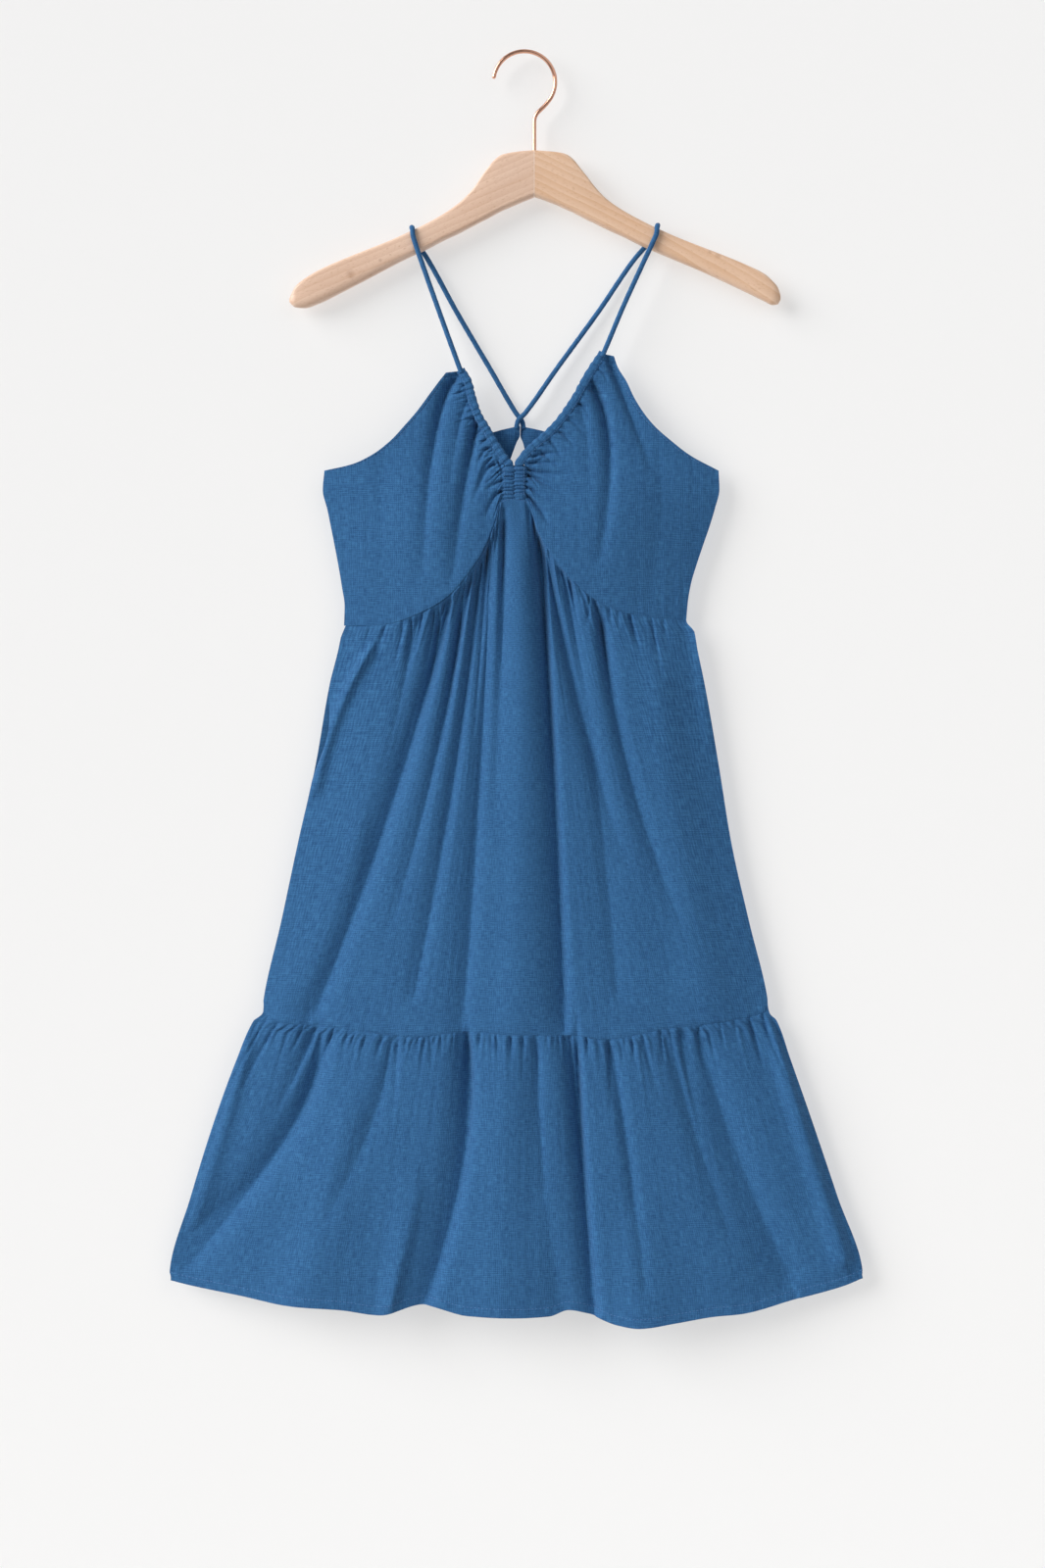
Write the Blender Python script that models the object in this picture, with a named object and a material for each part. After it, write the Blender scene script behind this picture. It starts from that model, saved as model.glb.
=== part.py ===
"""A tiered summer dress with thin rouleau straps, hanging on a wooden hanger with a wire hook.

Every size is in millimetres in the front view: x to the right of the hook's seat, down from that seat, and depth, which
is negative towards the viewer. place() turns such points into metres. Each piece of cloth is a wall that is a plain
sheet in the front view, so two pieces that lie side by side there never meet, and no fold crosses itself.
"""
from math import cos, pi, radians, sin

import bmesh
import bpy
import numpy as np

MM = 0.001
WALL = 2.0                # cloth, measured front to back
SEAM_GAP = 0.4            # left between two pieces that a seam joins
SEAM_DEPTH = WALL + SEAM_GAP / 2
ROUNDNESS = 2.6           # how boxy the dress is across: 2 is an ellipse

CLOTH_BLUE = (0.045, 0.145, 0.33)
BEECH = (0.70, 0.46, 0.29)
ROSE_GOLD = (0.80, 0.44, 0.32)


def table(columns, *rows):
    """A short table with named columns, one row for each section, corner or fold."""
    return dict(zip(columns.split(), np.array(rows, dtype=float).T))


# The dress's two side edges, and how far its front and its back stand off the side seams
OUTLINE = table(
    "down left right front back",
    (275, -184.5, 177.3, 7, 4.5),
    (340, -184.5, 177.3, 12, 5),
    (383.4, -184.5, 177.3, 17, 5),
    (397, -186.3, 178.2, 18, 5),
    (419, -181.8, 173.7, 19, 5),
    (455, -174.6, 162, 20, 5),
    (491, -168.3, 151.2, 19, 5),
    (521, -165, 147.6, 17, 5),
    (528, -167.4, 153.9, 17, 5),
    (549, -172, 158, 18, 6),
    (581, -180, 164.7, 20, 6),
    (653, -192.6, 177.3, 22, 7),
    (725, -208.8, 189, 23, 7),
    (797, -224.1, 205.2, 23, 7),
    (869, -240.3, 222.3, 22, 7),
    (880, -241.5, 223.5, 22, 7),
    (888, -249.3, 230.4, 22, 7),
    (923, -264.6, 243, 24, 8),
    (977, -284.4, 261.9, 26, 8),
    (1049, -306.9, 286.2, 28, 9),
    (1121, -326.7, 309.6, 30, 9),
    (1166, -328, 311, 30, 9),
)
# Fullness of the two cups, over the outline's own roundness
BUST = table("x down rise across tall", (-86, 432, 9, 46, 52), (74, 428, 9, 46, 52))

# Neckline: the free edge of each casing, from the strap down to the point of the V
NECK_LEFT = table(
    "x down", (-55.8, 289.5), (-48.6, 302.4), (-45.2, 315.9), (-40.8, 329.4), (-32.6, 344), (-25.5, 356),
    (-16, 371), (-11.6, 376.4), (-10.7, 379.2), (-10.7, 381.2))
NECK_RIGHT = table(
    "x down", (67.5, 273.6), (57.6, 288.9), (49.5, 302.4), (42.3, 315.9), (33.3, 329.4), (22.5, 342.9),
    (-0.9, 364.5), (-7.9, 373.4), (-9.7, 376.8), (-10.1, 379.2), (-10.1, 381.2))
ARMHOLE_LEFT = table(
    "x down", (-72.9, 294.3), (-79.2, 302.4), (-89.1, 315.9), (-99, 329.4), (-110.7, 342.9), (-123.3, 356.4),
    (-141.3, 369.9), (-159.3, 378), (-184.5, 383.4))
ARMHOLE_RIGHT = table(
    "x down", (81, 279), (84.6, 288.9), (92.7, 302.4), (99, 315.9), (107.1, 329.4), (117.9, 342.9),
    (133.2, 356.4), (151.2, 369.9), (177.3, 383.4))
CASING_WIDE = 8.6
CASING_DEEP = 5.0
TAB = {"left": -20.7, "centre": -10.4, "right": -0.1, "top": 382.3, "bottom": 408.0}

# The seam under the bust, from the left side over the foot of the centre tab to the right side
BUST_SEAM = table(
    "x down", (-165, 525.6), (-145, 525.6), (-125, 524.3), (-96.3, 514.8), (-70.2, 499.5), (-51.3, 477.9),
    (-37.8, 457.2), (-27.9, 432.9), (-21.5, 412), (-10.4, 409), (0.8, 412), (11.7, 441), (27.9, 467.6),
    (46.4, 488.7), (67.5, 504.5), (93.6, 514.8), (130.5, 519.8), (147.6, 520.6))
SEAM_ROW_TAB_LEFT, SEAM_ROW_TAB_RIGHT = 8, 10
BACK_WAIST = table("x down", (-165, 525.6), (-10, 523), (147.6, 520.6))
# Where a lengthwise thread that starts at a share of the bust seam meets the tier seam
GRAIN = table(
    "seam tier", (0, 0), (0.09, 0.04), (0.165, 0.07), (0.235, 0.14), (0.30, 0.225), (0.36, 0.30), (0.42, 0.36),
    (0.475, 0.40), (0.525, 0.60), (0.58, 0.64), (0.64, 0.70), (0.70, 0.775), (0.765, 0.86), (0.835, 0.93),
    (0.91, 0.96), (1, 1))
TIER_SEAM = table(
    "x down", (-240.7, 880.2), (-232, 885.6), (-221.4, 890), (-188, 891.5), (-139.5, 898.2), (-100.8, 901.6),
    (-54.9, 896.8), (-8, 900), (42.3, 900.2), (73.8, 904), (124.2, 895.5), (160.2, 891), (208.8, 884),
    (223.2, 878.6))
HEM = table(
    "x down", (-325.5, 1126.5), (-307.8, 1130.4), (-261.9, 1138.5), (-221.4, 1146), (-167.4, 1150.2),
    (-133, 1154.7), (-93.6, 1145.7), (-52, 1154.7), (-5.4, 1156.5), (21.6, 1155.6), (39.6, 1150.2),
    (57.6, 1153.8), (83.7, 1163.3), (102.6, 1166), (136.8, 1161.9), (172.8, 1156.5), (196.7, 1154.7),
    (244.8, 1143), (290.7, 1131.5), (309.6, 1124.5))
BACK_HEM_SHORTER = 4.0
POCKET = {"top": 578, "bottom": 668, "open": 6.5}

# Soft folds: the start, middle and end of each, its depth there and its half width. A negative depth is a ridge.
FOLD_COLUMNS = "x0 d0 x1 d1 x2 d2 deep0 deep1 wide0 wide1"
FRONT_FOLDS = table(
    FOLD_COLUMNS,
    (-61, 303, -83, 383, -85, 437, 2.5, 1.5, 5, 9),
    (-46, 341, -58, 402, -66, 470, 3.5, 0.5, 4, 8),
    (60, 307, 75, 374, 68, 446, 3, 0.5, 5, 10),
    (1, 388, 15, 395, 34, 409, 2.5, 0, 3, 5),
    (1, 405, 9, 415, 20, 432, 4, 0.5, 3, 5),
    (-22, 404, -29, 412, -39, 424, 4, 0.5, 3, 5),
    (-79, 509, -114, 635, -200, 878, 3.5, 4, 6, 16),
    (-69, 506, -79, 559, -95, 620, 4, 0.5, 4, 8),
    (-52, 484, -74, 612, -120, 850, 4, 2, 5, 12),
    (-37, 464, -41, 527, -62, 680, 4, 0.5, 4, 9),
    (-20, 440, -31, 635, -58, 880, 4, 4, 5, 14),
    (10, 446, 22, 624, 27, 898, 7, 5.5, 7, 14),
    (36, 482, 57, 624, 84, 800, 5.5, 0.5, 6, 12),
    (68, 510, 88, 617, 134, 816, 4, 0.5, 5, 13),
    (-5, 560, -6, 700, -14, 890, -2, -3, 12, 18),
    (-207, 900, -262, 1030, -308, 1130, 3, 5, 10, 26),
    (-150, 905, -172, 1030, -196, 1150, -2, -4, 14, 30),
    (-55, 900, -68, 1040, -92, 1148, 3, 6, 9, 22),
    (-108, 1050, -118, 1100, -130, 1156, -2, -5, 12, 16),
    (42, 902, 52, 1050, 58, 1156, 5, 7, 7, 15),
    (74, 905, 79, 930, 86, 962, 3, 0.5, 5, 8),
    (88, 1010, 96, 1090, 104, 1166, -1, -4, 16, 26),
    (141, 898, 158, 1000, 198, 1156, 4, 5, 8, 22),
    (162, 900, 170, 935, 180, 976, 3, 0, 5, 8),
    (219, 888, 235, 954, 264, 1050, 4, 1.5, 7, 16),
)
BACK_FOLDS = table(
    FOLD_COLUMNS,
    (-120, 528, -142, 680, -178, 876, 2.5, 2, 6, 14),
    (-62, 528, -72, 690, -94, 884, 3, 2.5, 6, 14),
    (-20, 528, -22, 700, -30, 888, 2, 3, 6, 14),
    (34, 528, 44, 700, 58, 890, 3, 2.5, 6, 14),
    (92, 524, 112, 690, 142, 884, 2.5, 2, 6, 14),
    (-190, 900, -214, 1020, -240, 1140, 2, 4.5, 8, 22),
    (-96, 904, -110, 1020, -124, 1146, 2, 5, 8, 20),
    (-12, 902, -14, 1020, -12, 1150, 2, 4.5, 8, 20),
    (78, 904, 90, 1030, 104, 1158, 2, 5, 8, 20),
    (170, 892, 190, 1010, 216, 1146, 2, 4.5, 8, 22),
)

# Gathers: half waves along a seam, how deep they are and how far down they run
BUST_GATHERS = {"count": 48, "shift": 0.6, "deep": 2.1, "reach": 34}
TIER_GATHERS = {"count": 90, "shift": 1.9, "deep": 1.9, "reach": 40}
BACK_BUST_GATHERS = {"count": 48, "shift": 3.1, "deep": 1.7, "reach": 34}
BACK_TIER_GATHERS = {"count": 90, "shift": 4.4, "deep": 1.6, "reach": 40}
CUP_GATHERS = {"count": 40, "shift": 2.7, "deep": 1.1, "reach": 15}
BACK_TOP_GATHERS = {"count": 16, "shift": 5.2, "deep": 1.2, "reach": 22}
FLAT_CENTRE = {"at": 0.503, "half": 0.035}

# The opening in the middle of the back, closed again above and below
KEYHOLE = table(
    "down centre half", (341.6, -4.7, 0.2), (350, -4.9, 0.2), (357, -5.2, 3), (368, -6, 6.3), (386, -7.5, 11),
    (405, -9, 13.2), (422, -10, 12), (434, -10.3, 8), (440, -10.4, 3), (442, -10.4, 0.2), (523.2, -10.4, 0.2))
BACK_TOP = table(
    "out down", (0, 341.6), (25, 347.5), (45, 357), (80, 369), (120, 378), (150, 381.8), (180, 383.4))
BACK_PEAK = {"x": -4.7, "down": 343, "shift": 1.6, "reach": 18}

# Straps: from the casing up the front, over the arm and down to the middle of the back
STRAP_RADIUS = 2.3
STRAP_POINTS = {"front": 11, "loop": 11, "back": 17}
ARM_LOOP = {"flat": 3.1, "round": 6.0, "drop": 6.27}
STRAP_LEFT = {
    "arm": -104.3,
    "seat": 160.3,
    "front": table("x down depth", (-60.1, 290.6, -9.3), (-60.9, 288.4, -9.3), (-77, 244, -9.4), (-94, 196, -9.3),
                   (-100.5, 177, -9.2)),
    "back": table("x down depth", (-98.5, 175, 9.2), (-90.5, 187, 9.3), (-63.5, 236, 9.3), (-32.4, 289, 9.2),
                  (-9, 329, 8.8), (-2.8, 338.0, 8.7), (-2.3, 340.2, 8.5)),
}
STRAP_RIGHT = {
    "arm": 121.4,
    "seat": 158.4,
    "front": table("x down depth", (72.0, 275.0, -9.0), (73.2, 272.6, -9.0), (89, 235, -9.3), (110, 189, -9.3),
                   (116.3, 175.5, -9.2)),
    "back": table("x down depth", (112.5, 174, 9.2), (101, 187, 9.3), (68, 235, 8.4), (28.8, 289, 6.2),
                  (-0.2, 330, 3.8), (-6.9, 337.4, 3.6), (-7.4, 339.8, 3.7)),
}

# Hanger: sections of either arm at distances out from the mitre, where under is the height of the lower front chamfer,
# and the wire of the hook. The left arm is turned a little, so it shows more of its underside.
MITRE = {"x": 8.1, "gap": 0.3}
ARMS = {
    "left": table(
        "out top bottom thick under",
        (0, 89.5, 132, 13, 4), (10, 90.2, 136, 13, 4), (22, 91.8, 141.2, 13, 4), (29, 93.4, 144.2, 13, 4),
        (35, 97, 147.3, 13, 4), (42, 105, 151.2, 13, 4), (48, 113, 154.2, 13, 4), (55, 123.6, 158, 13, 4),
        (62, 131.4, 161.6, 13, 4), (70, 138.7, 165.8, 13, 4), (82, 147.2, 171.3, 13, 4), (98, 156.3, 179.7, 13, 4.5),
        (116, 164.9, 187.9, 13, 5.5), (132, 172.2, 196, 13, 7), (152, 180.2, 206.6, 13, 8),
        (176, 189.8, 219.1, 13, 9.5), (198, 199.8, 229.8, 13, 8.5), (211, 207.6, 233.8, 12.5, 8),
        (219, 214.4, 233.2, 11, 5), (223, 221.5, 230.5, 8, 3), (224.6, 225.5, 228.5, 5, 1)),
    "right": table(
        "out top bottom thick under",
        (0, 89.5, 131.6, 13, 4), (10, 90.2, 135, 13, 4), (22, 91.4, 139.7, 13, 4), (29, 93.1, 143, 13, 4),
        (35, 97.2, 145.6, 13, 4), (42, 105.6, 149.3, 13, 4), (48, 113.2, 152.5, 13, 4), (55, 122.4, 155.6, 13, 4),
        (62, 130.2, 159.2, 13, 4), (70, 137.2, 163, 13, 4), (82, 145.2, 168.4, 13, 4), (98, 154, 176.4, 13, 4),
        (116, 162.7, 184.2, 13, 4.5), (132, 169.8, 190.9, 13, 5), (152, 177.6, 199.3, 13, 5.5),
        (176, 187, 210.4, 13, 6), (198, 196.3, 220.9, 13, 6), (211, 202.9, 227.3, 12.5, 5.5),
        (219, 209.8, 231, 11, 4.5), (223.5, 215.2, 230.5, 8, 3), (225.8, 221.5, 227, 5, 1)),
}
ARM_CHAMFER = 4.0
WIRE_RADIUS = 1.9
HOOK = {"x": -1.0, "down": 26.4, "radius": 28.3, "start": 174, "end": -36, "bend_down": 64, "foot": 89.2}
HOOK_ARC_POINTS = 26
HOOK_BEND_POINTS = 10


def smooth(at, x, y):
    """Read a table between its rows: a cubic that never bulges past the rows on either side."""
    x, y = np.asarray(x, dtype=float), np.asarray(y, dtype=float)
    slope = np.diff(y) / np.diff(x)
    before, after = slope[:-1], slope[1:]
    turning = before * after <= 0
    mean = 2 * before * after / np.where(turning, 1, before + after)
    tangent = np.concatenate(([slope[0]], np.where(turning, 0, mean), [slope[-1]]))
    at = np.clip(at, x[0], x[-1])
    i = np.clip(np.searchsorted(x, at, side="right") - 1, 0, len(x) - 2)
    width = x[i + 1] - x[i]
    s = (at - x[i]) / width
    ease = s * s * (3 - 2 * s)
    return (y[i] + (y[i + 1] - y[i]) * ease
            + width * s * (1 - s) * ((1 - s) * tangent[i] - s * tangent[i + 1]))


def lengths(path):
    """How far along a path each of its rows lies."""
    steps = np.sqrt(sum(np.diff(column) ** 2 for column in path.values()))
    return np.concatenate(([0], np.cumsum(steps)))


def walk(path, share):
    """Points at shares of the length of a path, one array for each column."""
    run = lengths(path)
    return tuple(smooth(np.asarray(share) * run[-1], run, column) for column in path.values())


def resampled(path, count=60):
    """The same path with evenly spaced rows."""
    return dict(zip(path, walk(path, np.linspace(0, 1, count + 1))))


def beside(path, away):
    """A path moved sideways in the front view: to the right, if the path runs down and the distance is positive."""
    across, down = np.gradient(path["x"]), np.gradient(path["down"])
    length = np.hypot(across, down)
    return {"x": path["x"] + away * down / length, "down": path["down"] - away * across / length}


def joined(*paths):
    """Paths one after the other."""
    return {name: np.concatenate([path[name] for path in paths]) for name in paths[0]}


def uneven(count, shift):
    """Sizes around 1 that no two neighbours share, the same in every run."""
    k = np.arange(count)
    return 1 + 0.30 * np.sin(2.4 * k + shift) + 0.18 * np.sin(5.3 * k + 2 * shift)


def ticks(gathers):
    """Where the ridges and valleys of a row of gathers lie along their seam, from 0 to 1."""
    run = np.concatenate(([0], np.cumsum(uneven(gathers["count"], gathers["shift"]))))
    return run / run[-1]


def gathered(share, below, gathers):
    """How far gathers move the cloth back, at a share of the seam and a distance below it."""
    below = np.maximum(below, 0)
    marks = ticks(gathers)
    size = uneven(len(marks), gathers["shift"] + 1)
    sign = np.where(np.arange(len(marks)) % 2 == 0, -1, 1)
    swing = smooth(share, marks, sign * size)
    reach = gathers["reach"] * smooth(share, marks, uneven(len(marks), gathers["shift"] + 2))
    grown = 1 - 0.75 * np.exp(-below / 5)
    return gathers["deep"] * swing * grown * np.exp(-(below / reach) ** 1.5)


def folded(x, down, folds, steps=10):
    """How far the soft folds of a table move the cloth back at points of the front view."""
    total = np.zeros(np.broadcast(x, down).shape)
    for x0, d0, x1, d1, x2, d2, deep0, deep1, wide0, wide1 in zip(*folds.values()):
        share = np.linspace(0, 1, steps + 1)
        bend_x, bend_d = 2 * x1 - (x0 + x2) / 2, 2 * d1 - (d0 + d2) / 2
        path_x = (1 - share) ** 2 * x0 + 2 * share * (1 - share) * bend_x + share ** 2 * x2
        path_d = (1 - share) ** 2 * d0 + 2 * share * (1 - share) * bend_d + share ** 2 * d2
        nearest = np.full(total.shape, np.inf)
        along = np.zeros(total.shape)
        for k in range(steps):
            run_x, run_d = path_x[k + 1] - path_x[k], path_d[k + 1] - path_d[k]
            t = np.clip(((x - path_x[k]) * run_x + (down - path_d[k]) * run_d) / (run_x ** 2 + run_d ** 2), 0, 1)
            gap = (x - path_x[k] - t * run_x) ** 2 + (down - path_d[k] - t * run_d) ** 2
            along = np.where(gap < nearest, (k + t) / steps, along)
            nearest = np.minimum(gap, nearest)
        width = wide0 + (wide1 - wide0) * along
        total += (deep0 + (deep1 - deep0) * along) * np.exp(-nearest / width ** 2)
    return total


def across_share(x, down):
    """-1 at the left side edge, 0 in the middle, 1 at the right one."""
    left = smooth(down, OUTLINE["down"], OUTLINE["left"])
    right = smooth(down, OUTLINE["down"], OUTLINE["right"])
    return np.clip((2 * x - left - right) / (right - left), -1, 1)


def front_depth(x, down, moved=0):
    """Depth of the outer face of the front, kept in front of the side seams."""
    stand = smooth(down, OUTLINE["down"], OUTLINE["front"])
    depth = SEAM_DEPTH + stand * (1 - np.abs(across_share(x, down)) ** ROUNDNESS)
    for bust_x, bust_down, rise, across, tall in zip(*BUST.values()):
        depth = depth + rise * np.exp(-((x - bust_x) / across) ** 2 - ((down - bust_down) / tall) ** 2)
    return np.minimum(-depth + folded(x, down, FRONT_FOLDS) + moved, -SEAM_DEPTH)


def back_depth(x, down, moved=0):
    """Depth of the outer face of the back, kept behind the side seams."""
    stand = smooth(down, OUTLINE["down"], OUTLINE["back"])
    depth = SEAM_DEPTH + stand * (1 - np.abs(across_share(x, down)) ** ROUNDNESS)
    return np.maximum(depth - folded(x, down, BACK_FOLDS) - moved, SEAM_DEPTH)


def place(x, down, depth):
    """Points in metres, +Z up."""
    x, depth, down = np.broadcast_arrays(x, depth, down)
    return np.stack([x, depth, -down], axis=-1) * MM


def skirt_edges(share, top, bottom, tier):
    """Front-view ends of the lengthwise threads of the skirt."""
    top_x, top_d = walk(top, share)
    bottom_x = tier[0] + (tier[1] - tier[0]) * smooth(share, GRAIN["seam"], GRAIN["tier"])
    bottom_d = smooth(bottom_x, bottom["x"], bottom["down"])
    return top_x, top_d, bottom_x, bottom_d


def between(share, down_share, ends, hug):
    """A panel between two seams, whose side edges follow the dress's outline."""
    top_x, top_d, bottom_x, bottom_d = ends(share)
    x = top_x + (bottom_x - top_x) * down_share
    down = top_d + (bottom_d - top_d) * down_share
    for edge, column in ((0.0, "left"), (1.0, "right")):
        edge_x0, _, edge_x1, _ = ends(edge)
        outline = smooth(down, OUTLINE["down"], OUTLINE[column])
        weight = np.clip(1 - 2 * np.abs(share - edge), 0, 1) ** hug
        ease = np.clip(down_share / 0.03, 0, 1) * np.clip((1 - down_share) / 0.03, 0, 1)
        x = x + weight * ease * (outline - edge_x0 - (edge_x1 - edge_x0) * down_share)
    return x, down


def skirt_front(share, down_share):
    """The front of the skirt, with the pocket's slit in its left edge."""
    seam = beside(BUST_SEAM, -SEAM_GAP / 2)
    tier = {"x": TIER_SEAM["x"], "down": TIER_SEAM["down"] - SEAM_GAP / 2}
    ends = lambda s: skirt_edges(s, seam, tier, (TIER_SEAM["x"][0], TIER_SEAM["x"][-1]))
    x, down = between(share, down_share, ends, hug=5)
    slit = np.clip((down - POCKET["top"]) / (POCKET["bottom"] - POCKET["top"]), 0, 1)
    x = x + POCKET["open"] * np.sin(pi * slit) ** 2 * np.clip(1 - share / 0.12, 0, 1) ** 2
    flat = np.clip(np.abs(share - FLAT_CENTRE["at"]) / FLAT_CENTRE["half"], 0, 1) ** 2
    below = down - walk(seam, share)[1]
    return x, down, front_depth(x, down, flat * gathered(share, below, BUST_GATHERS))


def skirt_back(share, down_share):
    """The back of the skirt, gathered into a straight waist seam."""
    seam = {"x": BACK_WAIST["x"], "down": BACK_WAIST["down"] + SEAM_GAP / 2}
    tier = {"x": TIER_SEAM["x"], "down": TIER_SEAM["down"] - SEAM_GAP / 2}
    ends = lambda s: walk(seam, s) + (tier["x"][0] + np.ptp(tier["x"]) * s,
                                      smooth(tier["x"][0] + np.ptp(tier["x"]) * s, tier["x"], tier["down"]))
    x, down = between(share, down_share, ends, hug=5)
    below = down - walk(seam, share)[1]
    return x, down, back_depth(x, down, gathered(share, below, BACK_BUST_GATHERS))


def ruffle(share, down_share, gathers, depth_of, shorter=0):
    """The gathered tier, between the tier seam and the hem."""
    def ends(s):
        top_x = TIER_SEAM["x"][0] + np.ptp(TIER_SEAM["x"]) * s
        hem_x = HEM["x"][0] + np.ptp(HEM["x"]) * s
        return (top_x, smooth(top_x, TIER_SEAM["x"], TIER_SEAM["down"]) + SEAM_GAP / 2,
                hem_x, smooth(hem_x, HEM["x"], HEM["down"]) - shorter)
    x, down = between(share, down_share, ends, hug=2)
    below = down - ends(share)[1]
    return x, down, depth_of(x, down, gathered(share, below, gathers))


def ruffle_front(share, down_share):
    return ruffle(share, down_share, TIER_GATHERS, front_depth)


def ruffle_back(share, down_share):
    return ruffle(share, down_share, BACK_TIER_GATHERS, back_depth, BACK_HEM_SHORTER)


def patch(out, down_share, inner, outer, top, bottom):
    """A four-sided panel between four edges in the front view."""
    points = []
    for k in range(2):
        along = (1 - out) * inner(down_share)[k] + out * outer(down_share)[k]
        lift = top(out)[k] - (1 - out) * top(0.0)[k] - out * top(1.0)[k]
        drop = bottom(out)[k] - (1 - out) * bottom(0.0)[k] - out * bottom(1.0)[k]
        points.append(along + lift * (1 - down_share) ** 3 + drop * down_share ** 3)
    return points


def seam_edge(side):
    """A cup's part of the bust seam, from the centre tab out to the side."""
    run = lengths(BUST_SEAM) / lengths(BUST_SEAM)[-1]
    start = run[SEAM_ROW_TAB_LEFT] if side < 0 else run[SEAM_ROW_TAB_RIGHT]
    finish = 0 if side < 0 else 1
    edge = beside(BUST_SEAM, SEAM_GAP / 2)
    return lambda out: walk(edge, start + (finish - start) * np.asarray(out))


def side_edge(side, top, bottom):
    """A side seam of the bodice, as a path from the armpit down to the waist."""
    column = OUTLINE["left" if side < 0 else "right"]
    down = np.linspace(top, bottom, 9)
    return {"x": smooth(down, OUTLINE["down"], column), "down": down}


ARMPIT_SHARE = 0.6


def cup(side, out, down_share):
    """One cup of the bodice: out from the casing to the armhole and side, down from the strap to the seam."""
    neck, armhole = (NECK_LEFT, ARMHOLE_LEFT) if side < 0 else (NECK_RIGHT, ARMHOLE_RIGHT)
    seam = seam_edge(side)
    tab_x = (TAB["left"] if side < 0 else TAB["right"]) + side * SEAM_GAP
    casing_edge = beside(resampled(neck), side * (CASING_WIDE + SEAM_GAP))
    kept = side * casing_edge["x"] > side * tab_x
    casing_edge = {name: column[kept] for name, column in casing_edge.items()}
    foot_x, foot_down = seam(0.0)
    tab_edge = {"x": np.array([tab_x, foot_x]), "down": np.array([TAB["top"] + 5, foot_down])}
    inner_path = joined(casing_edge, tab_edge)
    side_path = side_edge(side, armhole["down"][-1], seam(1.0)[1])

    def outer(share):
        upper = walk(armhole, np.clip(share / ARMPIT_SHARE, 0, 1))
        lower = walk(side_path, np.clip((share - ARMPIT_SHARE) / (1 - ARMPIT_SHARE), 0, 1))
        return [np.where(share < ARMPIT_SHARE, a, b) for a, b in zip(upper, lower)]

    def top(share):
        start, finish = walk(inner_path, 0.0), walk(armhole, 0.0)
        return [a + (b - a) * share for a, b in zip(start, finish)]

    x, down = patch(out, down_share, lambda v: walk(inner_path, v), outer, top, seam)
    inner_x, inner_down = walk(inner_path, down_share)
    below = np.hypot(x - inner_x, down - inner_down)
    return x, down, front_depth(x, down, gathered(down_share, below, CUP_GATHERS))


def back_bodice(side, out, down_share):
    """Half of the back bodice: out from the keyhole to the side, down from its top edge to the waist."""
    inner_down = KEYHOLE["down"][0] + np.ptp(KEYHOLE["down"]) * down_share

    def inner(share):
        down = KEYHOLE["down"][0] + np.ptp(KEYHOLE["down"]) * np.asarray(share)
        middle = smooth(down, KEYHOLE["down"], KEYHOLE["centre"])
        return middle + side * smooth(down, KEYHOLE["down"], KEYHOLE["half"]), down

    side_path = side_edge(side, BACK_TOP["down"][-1], BACK_WAIST["down"][0 if side < 0 else -1] - SEAM_GAP / 2)
    start_x, side_x = inner(0.0)[0], side_path["x"][0]

    def top(share):
        x = start_x + (side_x - start_x) * np.asarray(share)
        return x, smooth(np.abs(x - start_x), BACK_TOP["out"] * abs(side_x - start_x) / 180, BACK_TOP["down"])

    def bottom(share):
        x = inner(1.0)[0] + (side_path["x"][-1] - inner(1.0)[0]) * np.asarray(share)
        return x, smooth(x, BACK_WAIST["x"], BACK_WAIST["down"]) - SEAM_GAP / 2

    x, down = patch(out, down_share, inner, lambda v: walk(side_path, v), top, bottom)
    below = down - top(out)[1]
    peak = BACK_PEAK["shift"] * np.exp(
        -((x - BACK_PEAK["x"]) ** 2 + (down - BACK_PEAK["down"]) ** 2) / BACK_PEAK["reach"] ** 2)
    moved = gathered(out, below, BACK_TOP_GATHERS) * (inner_down < KEYHOLE["down"][-2])
    return x, down, back_depth(x, down, moved) + side * peak


def finish_mesh(name, bm, material):
    """Give a closed mesh its outward faces, its name and its material."""
    bmesh.ops.recalc_face_normals(bm, faces=bm.faces)
    mesh = bpy.data.meshes.new(name)
    bm.to_mesh(mesh)
    bm.free()
    mesh.shade_smooth()
    mesh.set_sharp_from_angle(angle=radians(50))
    mesh.materials.append(material)
    piece = bpy.data.objects.new(name, mesh)
    bpy.context.collection.objects.link(piece)
    return piece


def lace(bm, upper, lower, flip):
    """Fill the strip between two rows of points, which may differ in number, with triangles."""
    i = j = 0
    while i < len(upper) - 1 or j < len(lower) - 1:
        ahead = (i + 1) * (len(lower) - 1) <= (j + 1) * (len(upper) - 1)
        if j == len(lower) - 1 or (i < len(upper) - 1 and ahead):
            corners = (upper[i], lower[j], upper[i + 1])
            i += 1
        else:
            corners = (upper[i], lower[j], lower[j + 1])
            j += 1
        bm.faces.new(corners[::-1] if flip else corners)


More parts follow.
